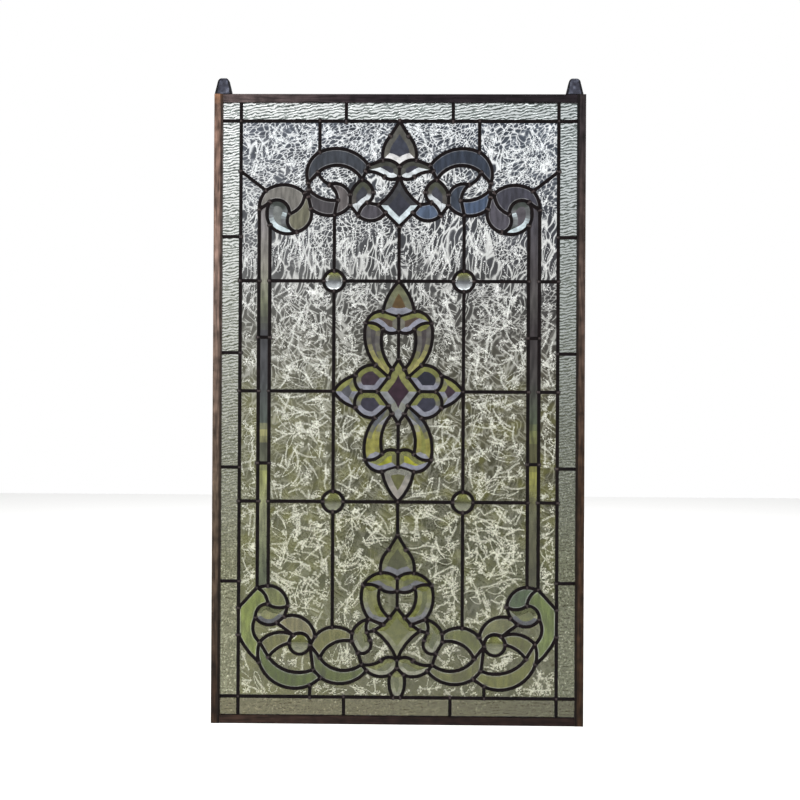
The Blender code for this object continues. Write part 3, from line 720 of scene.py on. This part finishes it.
def ripple_glass():
    """Rolled ripple glass: wavy ripples about 4 mm apart, with the bright and dark light that they break
    painted on.

    At the foot it is seen against grass, evenly, with small painted glints on its grain.
    """
    material, shader = new_glass("rolled_ripple_glass", 0.08)
    here = add(material, "TexCoord", output="Object")
    high = share_of_height(material, here)
    tilted = add(material, "Mapping", Vector=here, Rotation=(0, math.radians(9), 0))
    waves = add(material, "TexWave", {"bands_direction": "Z"}, output="Fac", Vector=tilted,
                Scale=WAVE_PERIOD / RIPPLE_GAP, Distortion=8.0, Detail=2.0, Detail_Scale=1.1,
                Detail_Roughness=0.6)
    breaks = patches(material, tilted, 5.5, 1.0, (1.6, 1, 1))
    ripples = add(material, "Mix", COLOURS, Factor=0.42, A=waves, B=breaks)
    # Painted light: the ripples as dark and bright white lines.
    bright = add(material, "ValToRGB", Fac=ripples,
                 stops=((0.2, "#363d3a"), (0.34, "#78827d"), (0.46, "#fcfffe")))
    grain = patches(material, here, 2.7, 1.5, roughness=0.6)
    # Painted glints: the grain ramps turn pale at their top.
    dull = add(material, "ValToRGB", Fac=grain, stops=(
        (0.3, "#4f4f37"), (0.5, "#6a6a51"), (0.62, "#7e7e64"), (0.67, "#d8d8c6")))
    foot = add(material, "ValToRGB", Fac=grain, stops=(
        (0.3, "#4c4832"), (0.5, "#5c583e"), (0.64, "#68644a"), (0.72, "#bdbda6")))
    zone = add(material, "ValToRGB", Fac=high, stops=(
        (0.26, BLACK), (0.48, "#8c8c8c"), (0.7, "#d4d4d4"), (0.9, WHITE)))
    low_zone = add(material, "ValToRGB", Fac=high, stops=((0.035, BLACK), (0.05, WHITE)))
    low = add(material, "Mix", COLOURS, Factor=low_zone, A=foot, B=dull)
    tone = add(material, "Mix", COLOURS, Factor=zone, A=low, B=bright)
    shade = add(material, "ValToRGB", Fac=share_of_width(material, here),
                stops=((0.05, WHITE), (0.95, "#d2d6d8")))
    heights = add(material, "Mix", COLOURS, Factor=zone, A=grain, B=ripples)
    connect(material, shader, Base_Color=add(material, "Mix", TIMES, Factor=1.0, A=tone, B=shade),
            Normal=add(material, "Bump", Height=heights, Distance=0.5 * MM))
    return material


def tinted_glass(name, patch_mm, stretch, dark, relief_mm):
    """Clear glass whose tint is kept on its faces, with the uneven light of what is behind it."""
    material, shader = new_glass(name, 0.03)
    here = add(material, "TexCoord", output="Object")
    tint = add(material, "VertexColor", {"layer_name": "tint"}, output="Color")
    uneven = patches(material, here, patch_mm, 2.5, stretch)
    shade = add(material, "ValToRGB", Fac=uneven, stops=((0.32, dark), (0.66, WHITE)))
    connect(material, shader, Base_Color=add(material, "Mix", TIMES, Factor=1.0, A=tint, B=shade),
            Normal=add(material, "Bump", Height=uneven, Distance=relief_mm * MM))
    return material


def black_came():
    """Lead came with black patina: brown-black, dull, with a little shine on its crown."""
    material, shader = new_material("patinated_lead_came", Roughness=0.5, Specular_IOR_Level=0.07)
    here = add(material, "TexCoord", output="Object")
    skin = add(material, "ValToRGB", Fac=patches(material, here, 9),
               stops=((0.35, "#080506"), (0.68, "#130d0e")))
    relief = add(material, "Bump", Height=patches(material, here, 2.2), Distance=0.08 * MM)
    connect(material, shader, Base_Color=skin, Normal=relief)
    return material


def solder():
    """Tin-lead solder joints under patina: browner and smoother than the came."""
    material, shader = new_material("patinated_solder_joints", Roughness=0.45, Specular_IOR_Level=0.3)
    here = add(material, "TexCoord", output="Object")
    skin = add(material, "ValToRGB", Fac=patches(material, here, 4),
               stops=((0.35, "#1d1515"), (0.7, "#352a29")))
    connect(material, shader, Base_Color=skin)
    return material


def frame_patina_and_painted_light():
    """Brass channel with brown patina: pink-brown down the left, nearly black on top, brown below. Every
    bar is lighter towards the left, which is painted light from the left.

    Its face is darker over the third nearest the glass, and rubs run along each bar.
    """
    material, shader = new_material("brown_patina_brass", Roughness=0.5, Metallic=0.25,
                                    Specular_IOR_Level=0.15)
    here = add(material, "TexCoord", output="Object")
    high, wide = share_of_height(material, here), share_of_width(material, here)
    # Painted light from the left: the left bar and the left ends of the top and foot bars are lighter.
    left = add(material, "ValToRGB", Fac=high, stops=(
        (0.05, "#3c2c21"), (0.37, "#6a5a4b"), (0.69, "#90786d"), (0.93, "#8d7062"), (0.98, "#8a6e60"),
        (0.995, "#a87c60")))
    right = add(material, "ValToRGB", Fac=high, stops=(
        (0.05, "#3f2c1d"), (0.37, "#483425"), (0.69, "#5d4c43"), (0.93, "#362f31")))
    sides = add(material, "Mix", COLOURS, Factor=wide, A=left, B=right)
    head = add(material, "ValToRGB", Fac=wide, stops=(
        (0.08, "#615352"), (0.4, "#2e252a"), (0.8, "#231c21")))
    foot = add(material, "ValToRGB", Fac=wide, stops=(
        (0.08, "#3d2b23"), (0.45, "#2d1e1b"), (0.8, "#2a1b16")))
    upper = add(material, "ValToRGB", Fac=high, stops=((0.49, BLACK), (0.51, WHITE)))
    bars = add(material, "Mix", COLOURS, Factor=upper, A=foot, B=head)
    x = add(material, "SeparateXYZ", output="X", Vector=here)
    outwards = add(material, "Math", {"operation": "ABSOLUTE"}, Value=x)
    lip = add(material, "MapRange", Value=outwards, From_Min=-SIGHT, From_Max=HALF_WIDTH)
    on_side = add(material, "ValToRGB", Fac=lip, stops=((0.0, BLACK), (0.01, WHITE)))
    tone = add(material, "Mix", COLOURS, Factor=on_side, A=bars, B=sides)
    edge = add(material, "ValToRGB", Fac=lip, stops=(
        (0.0, WHITE), (0.02, "#707070"), (0.2, "#8c8c8c"), (0.34, WHITE)))
    stain = add(material, "ValToRGB", Fac=patches(material, here, 14, 5.0),
                stops=((0.3, "#a4a4a4"), (0.7, WHITE)))
    along_bar = add(material, "Mix", COLOURS, Factor=on_side,
                    A=patches(material, here, 2.4, 3.0, (14, 1, 1)),
                    B=patches(material, here, 2.4, 3.0, (1, 1, 14)))
    rubs = add(material, "ValToRGB", Fac=along_bar, stops=((0.36, "#a8a8a8"), (0.6, WHITE)))
    for shade in (edge, stain, rubs):
        tone = add(material, "Mix", TIMES, Factor=1.0, A=tone, B=shade)
    relief = add(material, "Bump", Height=patches(material, here, 1.5), Distance=0.05 * MM)
    connect(material, shader, Base_Color=tone, Normal=relief)
    return material


def strap_metal():
    """Soldered strap under patina: a blue-grey face that is a painted sky reflection, and edges that
    painted shade makes nearly black.
    """
    material, shader = new_material("patinated_strap_painted_sky", Roughness=0.42, Metallic=0.35,
                                    Specular_IOR_Level=0.3)
    here = add(material, "TexCoord", output="Object")
    # The blue-grey of the face is a painted sky reflection.
    skin = add(material, "ValToRGB", Fac=patches(material, here, 6), stops=(
        (0.3, "#1f1f27"), (0.55, "#3a3c48"), (0.8, "#6d7180")))
    # The tint carries the painted shade on the strap's edges and on the inside of its loop.
    tint = add(material, "VertexColor", {"layer_name": "tint"}, output="Color")
    relief = add(material, "Bump", Height=patches(material, here, 3), Distance=0.1 * MM)
    connect(material, shader, Base_Color=add(material, "Mix", TIMES, Factor=1.0, A=skin, B=tint),
            Normal=relief)
    return material


# What each small piece of glass is

# Places of the small glue-chip pieces, in millimetres from the centre line and over the panel's
# foot; both sides alike. The streaky pieces come with what is seen through them on the left side
# and on the right. Every other small piece is bevelled, but for the jewels.
CHIP_PLACES = ((85, 770), (32, 760), (110, 755), (10, 540), (10, 392), (12, 177), (182, 130),
               (95, 98), (150, 88), (25, 100))
STREAKY = (
    (88, 795, "#4d525b", "#3f4858"), (83, 740, "#7a7474", "#47505f"), (113, 729, "#5b585c", "#5a6b86"),
    (40, 716, "#5f5c64", "#64758f"), (158, 745, "#96938d", "#53535f"), (138, 714, "#8c8a76", "#64616b"),
    (175, 178, "#6f7442", "#455539"), (206, 160, "#788438", "#606e33"), (132, 136, "#77724d", "#63643d"),
    (95, 122, "#696832", "#5d612c"), (178, 112, "#676632", "#5a5c28"), (80, 68, "#4a5418", "#5b5c2c"),
    (160, 62, "#485518", "#62642a"), (36, 139, "#5c6034", "#565a30"))
JEWEL_RADIUS = 13.5 * MM
JEWEL_FLATNESS = 0.3
ROUND_WITHIN = 0.5 * MM
SHORTEST_STRIP = 80 * MM


def piece_kind(hole):
    """Whether a small opening holds a jewel, a glue-chip, streaky or bevelled piece, and its tints."""
    _, _, across, rise = extent(hole)
    if abs(across - rise) < ROUND_WITHIN and abs(area(hole) / (across * rise) - math.pi / 4) < 0.02:
        return "jewel", None
    for x, z, *tints in (*CHIP_PLACES, *STREAKY):
        if any(goes_round(hole, Vector((side * x * MM, height(z)))) for side in (-1, 1)):
            return ("streaky", tints) if tints else ("chip", None)
    return ("strip" if rise > max(4 * across, SHORTEST_STRIP) else "bevelled"), None


def middle_of(outline):
    return sum(outline, Vector((0, 0))) / len(outline)


# How wide the band is in which the tints of left and right blend. A slope takes the tint of a level
# one until it turns up or down by more than LEVEL_WITHIN, and that of a steep one STEEP_OVER later.
CENTRE_BAND = 20 * MM
LEVEL_WITHIN = 0.12
STEEP_OVER = 0.4

# What is seen through the strips: heights over the foot in millimetres, with the colour on the left
# and on the right side
STRIP_VIEWS = ((215, "#5a6249", "#4e4e39"), (300, "#9b9e7b", "#6b6b52"), (352, "#b2b676", "#a5a459"),
               (368, "#6d705f", "#666547"), (392, "#6d705f", "#666547"), (404, "#bdb980", "#8d915d"),
               (424, "#646d66", "#5a6351"), (480, "#5a5c5e", "#514e4c"), (550, "#555559", "#474143"),
               (590, "#8e9279", "#605d5b"), (640, "#a6a398", "#5b5659"), (700, "#a9a4a4", "#615e65"))

# The bevelled pieces by their places, as above, with the width of their slopes: the colours of the
# flat middle on the left and on the right side, and of the slopes that face up, down and sideways.
# These are painted light: painted grass on the slopes that face up, painted bright sky on those that
# face down.
BEVELS = ((0, 805, 8.2, "#484c5a", "#484c5a", "#66655f", "#ffffff", "#77756c"),
          (20, 775, 7.2, "#42424c", "#484854", "#4e4f48", "#f4fbff", "#64655f"),
          (52, 739, 7.2, "#484a52", "#50525c", "#54574a", "#f4fbff", "#625f5b"),
          (0, 730, 8.0, "#3f414c", "#3f414c", "#45464a", "#ecfaff", "#5d6064"),
          (165, 711, 7.4, "#8b8f8d", "#676369", "#4d534f", "#eafaff", "#85888a"),
          (0, 588, 9.5, "#6b5637", "#6b5637", "#7d7f62", "#9799a5", "#7f8078"),
          (22, 563, 7.2, "#66564b", "#66564b", "#8a8d55", "#9a9cab", "#7f7d72"),
          (29, 531, 7.2, "#5a5657", "#544e4f", "#8f9150", "#a9a562", "#6c6966"),
          (45, 484, 7.4, "#453742", "#2d2f3c", "#85884f", "#8e909e", "#8c8c72"),
          (45, 447, 7.4, "#42404e", "#3f404e", "#85884f", "#8e909e", "#7e7e70"),
          (66, 466, 7.4, "#63646a", "#43343f", "#96985a", "#8e909e", "#84846c"),
          (0, 466, 9.8, "#3f2b38", "#3f2b38", "#90925a", "#939698", "#90925a"),
          (29, 401, 7.2, "#a5a257", "#8f914f", "#666a70", "#9496a0", "#a19d52"),
          (22, 369, 7.2, "#a8ab3e", "#adae42", "#7a7c4c", "#8a8c9c", "#7f8058"),
          (0, 344, 9.0, "#72724b", "#72724b", "#86867c", "#a6a096", "#7f7f76"),
          (0, 226, 8.2, "#4e5036", "#4e5036", "#6c6e4b", "#74757a", "#6e7056"),
          (21, 197, 7.2, "#666838", "#565a34", "#6e713c", "#6a6b6e", "#74764a"),
          (178, 152, 6.5, "#77784c", "#60643c", "#5c5f42", "#54565c", "#8b8c6e"),
          (0, 132, 7.0, "#5f6232", "#5f6232", "#6c6f40", "#7a7b5e", "#73754f"),
          (48, 118, 6.2, "#5c5f3e", "#535739", "#6b6e48", "#8a8b78", "#6c6e52"),
          (20, 80, 6.2, "#5b5e3c", "#56593a", "#70724c", "#8c8d7a", "#6d6f52"))


def right_share(place):
    """0 for a piece on the left, 1 on the right, and between them for one on the centre line."""
    return min(1.0, max(0.0, 0.5 + place.x / CENTRE_BAND))


def hue(colour):
    """A hex colour as linear values that can be mixed."""
    return Vector(linear(colour)[:3])


def view_colour(views, place):
    """The colour seen through a piece at a place, as linear values."""
    z = above_foot(place.y)
    side = right_share(place)
    low = max((row for row in views if row[0] <= z), key=lambda row: row[0], default=views[0])
    high = min((row for row in views if row[0] >= z), key=lambda row: row[0], default=views[-1])
    share = (z - low[0]) / (high[0] - low[0]) if high[0] > low[0] else 0
    rows = [hue(row[1]).lerp(hue(row[2]), side) for row in (low, high)]
    return rows[0].lerp(rows[1], share)


def bevel_row(place):
    """The row of the table that stands nearest to a piece."""
    spot = Vector((abs(place.x), above_foot(place.y) * MM))
    return min(BEVELS, key=lambda row: (spot - Vector(row[:2]) * MM).length)


def facet_tint(place):
    """How a bevelled piece's slopes throw the light, as painted sky and grass: a function of the way that
    a slope faces.
    """
    flat_left, flat_right, up, down, level = [hue(colour) for colour in bevel_row(place)[3:]]
    side = right_share(place)

    def tint_of(outward):
        if outward is None:
            return flat_left.lerp(flat_right, side)
        steep = min(1.0, max(0.0, (abs(outward.y) - LEVEL_WITHIN) / STEEP_OVER))
        return level.lerp(up if outward.y > 0 else down, steep)

    return tint_of


def streak_tint(place, tints):
    """A streaky piece's tint, with a painted paler line of light round its edge."""
    left, right = [hue(colour) for colour in tints]
    tone = left.lerp(right, right_share(place))
    pale = tone.lerp(Vector((1, 1, 1)), 0.22)
    return lambda outward: pale if outward else tone


# Building

# How nearly an opening has the place and size of a pane, how wide the rounded rim of a streaky piece
# is, and how far the middle of a streaky or a bevelled piece stands over its edge
SAME_PANE = 2.5 * MM
STREAKY_RIM = 1.9 * MM
STREAKY_RISE = 0.3 * MM
BEVEL_RISE = 1.3 * MM


def build_glass(holes):
    """Every piece of glass, and the came around it."""
    clear, marks, ripple = glue_chip_glass(), chip_marks(), ripple_glass()
    bevel = tinted_glass("ground_bevel_glass", 8, (1, 1, 1), "#c0c0c0", 0.02)
    streaky = tinted_glass("streaky_rolled_glass", 5, (1, 1, 5), "#a0a0a0", 0.15)
    panes = {}
    for name in nodes:
        if "pane" in name or "border" in name:
            low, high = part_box(name)
            panes[name] = (low[0], low[2], high[0] - low[0], high[2] - low[2])
    came, chips, bevels, streakies = [Shell() for _ in range(4)]
    jewels, strips = [], []
    for number, hole in enumerate(holes):
        dice = random.Random(number)
        smooth = made_round(hole)
        add_came(came, smooth)
        sheet = widened(smooth, TUCK)
        place_and_size = extent(hole)
        name = next((pane for pane, box in panes.items()
                     if all(abs(a - b) < SAME_PANE for a, b in zip(place_and_size, box))), None)
        if name:
            pane = Shell()
            if "border" in name:
                add_rippled(pane, sheet)
                dress(pane.piece(f"ripple_{name}", [ripple], smooth=50), "ripple_glass", name)
            else:
                add_slab(pane, sheet)
                add_chip_marks(pane, smooth, dice)
                dress(pane.piece(f"chipped_{name}", [clear, marks]), "glue_chip_glass", name)
            continue
        (kind, tints), place = piece_kind(smooth), middle_of(smooth)
        if kind == "jewel":
            jewels.append(place)
        elif kind == "chip":
            add_slab(chips, sheet)
            add_chip_marks(chips, smooth, dice)
        elif kind == "streaky":
            add_bevelled(streakies, sheet, STREAKY_RIM, STREAKY_RISE, streak_tint(place, tints))
        elif kind == "strip":
            strips.append(sheet)
        else:
            add_bevelled(bevels, sheet, bevel_row(place)[2] * MM, BEVEL_RISE, facet_tint(place))
    for sheet in strips:
        add_strip(streakies, sheet)
    dress(came.piece("lead_came", [black_came()], smooth=50), "lead", "leadwork")
    dress(chips.piece("small_glue_chip_pieces", [clear, marks]), "glue_chip_glass", "leadwork")
    dress(bevels.piece("bevelled_pieces", [bevel], smooth=5), "glue_chip_glass", "leadwork")
    dress(streakies.piece("streaky_pieces", [streaky]), "glue_chip_glass", "leadwork")
    return jewels, bevel


# What the upper and the lower jewels show turned over, painted on them: at their foot, in their middle
# and at their top; the pale foot of the upper ones is painted sky light
JEWEL_VIEWS = (("#dfe6ea", "#6a6d70", "#7c7e44"), ("#94967e", "#5a5c3c", "#75783f"))


def build_jewels(places, glass):
    """Round pressed jewels: thick lenses, with what is behind them painted on upside down."""
    made = []
    for place in places:
        deselect()
        bpy.ops.mesh.primitive_uv_sphere_add(segments=32, ring_count=16, radius=JEWEL_RADIUS,
                                             location=(0, 0, 0), rotation=(math.pi / 2, 0, 0))
        jewel = bpy.context.object
        jewel.scale.z = JEWEL_FLATNESS
        jewel.location = (place.x, 0, place.y)
        bpy.ops.object.transform_apply(location=True, rotation=True, scale=True)
        bpy.ops.object.shade_smooth()
        layer = jewel.data.color_attributes.new("tint", "FLOAT_COLOR", "CORNER")
        views = JEWEL_VIEWS[0 if place.y > (FOOT + HEAD) / 2 else 1]
        below, middle, above = [hue(colour) for colour in views]
        # Painted view: each corner takes the colour that the lens would show turned over.
        for loop, value in zip(jewel.data.loops, layer.data):
            lift = (jewel.data.vertices[loop.vertex_index].co.z - place.y) / JEWEL_RADIUS
            tone = middle.lerp(above if lift > 0 else below, min(1.0, abs(lift) * 1.25))
            value.color = (*tone, 1)
        made.append(jewel)
    deselect()
    for jewel in made:
        jewel.select_set(True)
    bpy.context.view_layer.objects.active = made[0]
    bpy.ops.object.join()
    jewel = bpy.context.object
    jewel.name = "round_jewels"
    jewel.data.materials.append(glass)
    return dress(jewel, "glue_chip_glass", "leadwork")


# Solder: how far apart two blobs are at least; a blob's least and greatest radius, half its thickness
# and its sides; then its radius and half its thickness by the frame, and how near that is
SOLDER_APART = 3.5 * MM
SOLDER_RADII = (3.8 * MM, 4.6 * MM)
SOLDER_DEEP = 3.15 * MM
SOLDER_SIDES = 12
RIM_RADIUS = 2.9 * MM
RIM_DEEP = 4.42 * MM
BY_SIDE_BAR = 3 * MM
BY_END_BAR = 15 * MM


def build_solder(holes):
    """A low blob of solder wherever lead lines meet, and where they meet the frame."""
    spots = []
    for hole in holes:
        line = widened(hole, HALF_CAME)
        for place in [line[k] for k in joints_of(line)]:
            if all((place - spot).length > SOLDER_APART for spot in spots):
                spots.append(place)
    shell = Shell()
    dice = random.Random(5)
    for spot in spots:
        across, along_z, deep = dice.uniform(*SOLDER_RADII), dice.uniform(*SOLDER_RADII), SOLDER_DEEP
        if abs(spot.x) > -SIGHT - BY_SIDE_BAR or not FOOT + BY_END_BAR < spot.y < HEAD - BY_END_BAR:
            across, along_z, deep = RIM_RADIUS, RIM_RADIUS, RIM_DEEP
        rings = []
        for latitude in (-55, -25, 0, 25, 55):
            angle = math.radians(latitude)
            ring = []
            for k in range(SOLDER_SIDES):
                round_angle = math.tau * k / SOLDER_SIDES
                flat = Vector((across * math.cos(round_angle), along_z * math.sin(round_angle)))
                ring.append(shell.corner(spot + flat * math.cos(angle), deep * math.sin(angle)))
            rings.append(ring)
        near, far = shell.corner(spot, -deep), shell.corner(spot, deep)
        for start, end in sides_of(rings[0]):
            shell.face((start, end, near))
        for start, end in sides_of(rings[-1]):
            shell.face((end, start, far))
        for ring, other in zip(rings, rings[1:]):
            shell.band(other, ring)
    return dress(shell.piece("solder_joints", [solder()], smooth=60), "lead", "leadwork")


# Channel: the rounding of its long edges, its wall and the depth of its hollow
EDGE_ROUNDING = 1.4 * MM
CHANNEL_WALL = 0.9 * MM
CHANNEL_DEPTH = 8 * MM


def build_bar(name, patina):
    """One bar of the channel: a block hollowed from its inner side, with its long edges eased."""
    low, high = [Vector(corner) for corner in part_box(name)]
    middle, size = (low + high) / 2, high - low
    deselect()
    bpy.ops.mesh.primitive_cube_add(size=1, location=middle, scale=size)
    bar = bpy.context.object
    bar.name = f"{name}_bar"
    bpy.ops.object.transform_apply(location=True, rotation=True, scale=True)
    upright = size.z > size.x
    inner = 0 if upright else 2
    side = -1 if middle[inner] > (0 if upright else (FOOT + HEAD) / 2) else 1
    bpy.ops.object.mode_set(mode="EDIT")
    shape = bmesh.from_edit_mesh(bar.data)
    long_edges = [e for e in shape.edges
                  if abs((e.verts[0].co - e.verts[1].co)[2 if upright else 0]) > 0.1]
    for edge in shape.edges:
        edge.select_set(edge in long_edges)
    bmesh.update_edit_mesh(bar.data)
    bpy.ops.mesh.bevel(offset=EDGE_ROUNDING, segments=4, profile=0.6)
    shape = bmesh.from_edit_mesh(bar.data)
    for face in shape.faces:
        face.select_set(face.normal[inner] * side > 0.99)
    bmesh.update_edit_mesh(bar.data)
    bpy.ops.mesh.inset(thickness=CHANNEL_WALL, depth=0)
    move = [0.0, 0.0, 0.0]
    move[inner] = -side * CHANNEL_DEPTH
    bpy.ops.mesh.extrude_region_move(TRANSFORM_OT_translate={"value": move})
    bpy.ops.mesh.select_all(action="SELECT")
    bpy.ops.mesh.normals_make_consistent(inside=False)
    bpy.ops.object.mode_set(mode="OBJECT")
    bpy.ops.object.shade_smooth_by_angle(angle=math.radians(40))
    bar.data.materials.append(patina)
    return dress(bar, "channel", name)


# Strap: its thickness, how wide its top is as a share of its foot, how high its rounded shoulder is,
# the places across it where it has corners, and the painted shade on its edge and on its inside
STRAP = 1.6 * MM
TAPER = 14.5 / 24.5
SHOULDER = 7 * MM
SHARES = (-1, -0.9, -0.72, -0.4, 0, 0.4, 0.72, 0.9, 1)
EDGE_PAINTED_SHADE = (0.1, 0.09, 0.1)
INNER_PAINTED_SHADE = (0.25, 0.25, 0.28)


def build_loop(name, metal):
    """One strap, bent to a standing loop that opens sideways, with rounded shoulders."""
    low, high = [Vector(corner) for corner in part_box(name)]
    middle, depth, rise = (low.x + high.x) / 2, high.y, high.z - low.z
    runs = []
    for radius, foot in ((depth, 0), (depth - STRAP, STRAP)):
        run = [(-radius, foot)]
        for step in range(17):
            angle = math.pi * step / 16
            run.append((-radius * math.cos(angle), rise - depth + radius * math.sin(angle)))
        runs.append(run + [(radius, foot)])
    shell = Shell()
    columns = []
    for share in SHARES:
        rings = []
        for run in runs:
            ring = []
            for y, z in run:
                half = (high.x - low.x) / 2 * (1 - z / rise * (1 - TAPER))
                over = max(0.0, z - (rise - SHOULDER)) / SHOULDER
                half *= math.sqrt(1 - 0.82 * over * over)
                ring.append(shell.corner(Vector((middle + share * half, low.z + z)), y))
            rings.append(ring)
        columns.append(rings)
    # Painted shade: the tints darken the strap's edges and the inside of its loop.
    for (outer, inner), (next_outer, next_inner), share in zip(columns, columns[1:], SHARES):
        shell.band(next_outer, outer, EDGE_PAINTED_SHADE if abs(share + 0.05) > 0.7 else (1, 1, 1))
        shell.band(inner, next_inner, INNER_PAINTED_SHADE)
    shell.band(*columns[0], EDGE_PAINTED_SHADE)
    shell.band(*columns[-1][::-1], EDGE_PAINTED_SHADE)
    return dress(shell.piece(f"{name}_strap", [metal], smooth=50), "strap", name)


def build_frame():
    """The four bars of brass channel, and the two straps that the panel hangs by."""
    patina = frame_patina_and_painted_light()
    for name in ("frame_left", "frame_right", "frame_foot", "frame_top"):
        build_bar(name, patina)
    metal = strap_metal()
    for name in ("loop_left", "loop_right"):
        build_loop(name, metal)


# How far below the panel the floor is, in metres
FLOOR_DROP = 0.12


def build_stage():
    """A pale floor, a white room that shines less from the front, and three soft lamps."""
    deselect()
    bpy.ops.mesh.primitive_plane_add(size=14, location=(0, 0, FOOT - FLOOR_DROP))
    floor = bpy.context.object
    floor.name = "pale_floor"
    material, _ = new_material("pale_floor_paint", Roughness=0.95, Base_Color=linear("#fbfbfa"))
    floor.data.materials.append(material)
    world = bpy.data.worlds.new("white_studio")
    bpy.context.scene.world = world
    world.use_nodes = True
    way = add(world, "TexCoord", output="Generated")
    ahead = add(world, "SeparateXYZ", output="Y", Vector=way)
    light = add(world, "MapRange", Value=ahead, From_Min=-0.5, From_Max=0.3, To_Min=0.38, To_Max=1.0)
    for seen in ("Is Camera Ray", "Is Transmission Ray"):
        light = add(world, "Mix", Factor=add(world, "LightPath", output=seen), A=light, B=1.0)
    connect(world, world.node_tree.nodes["Background"], Color=(1, 1, 1, 1), Strength=light)
    middle = Vector((0, 0, (FOOT + HEAD) / 2))
    lamps = (((-1.7, -1.5, 0.5), 52, 1.4, middle), ((1.7, -1.5, 0.5), 38, 1.4, middle),
             ((0, 3.2, 2.6), 105, 4.5, Vector((0, 3.2, 0))))
    for place, power, size, target in lamps:
        lamp = bpy.data.lights.new("soft_lamp", "AREA")
        lamp.energy, lamp.size = power, size
        holder = add_object("soft_lamp", lamp)
        holder.location = place
        aim = target - Vector(place)
        holder.rotation_euler = aim.to_track_quat("-Z", "Y").to_euler()


def build_camera():
    """The camera of the photograph: nearly square on, two metres away, with a long lens."""
    away, azimuth, elevation, roll = 2.0, math.radians(1.13), math.radians(-0.24), math.radians(0.31)
    aim = Vector((0.0024, 0, (FOOT + HEAD) / 2 + 0.0128))
    back = Vector((math.sin(azimuth) * math.cos(elevation), -math.cos(azimuth) * math.cos(elevation),
                   math.sin(elevation)))
    lens = bpy.data.cameras.new("photo_camera")
    lens.lens, lens.sensor_width = 64.2, 36
    camera = add_object("photo_camera", lens)
    turn = (-back).to_track_quat("-Z", "Y").to_matrix().to_4x4()
    camera.matrix_world = Matrix.Translation(aim + back * away) @ turn @ Matrix.Rotation(roll, 4, "Z")
    bpy.context.scene.camera = camera
    bpy.context.scene.view_settings.view_transform = "Standard"


holes = front_outlines()
jewel_places, jewel_glass = build_glass(holes)
build_jewels(jewel_places, jewel_glass)
build_solder(holes)
build_frame()
build_stage()
build_camera()
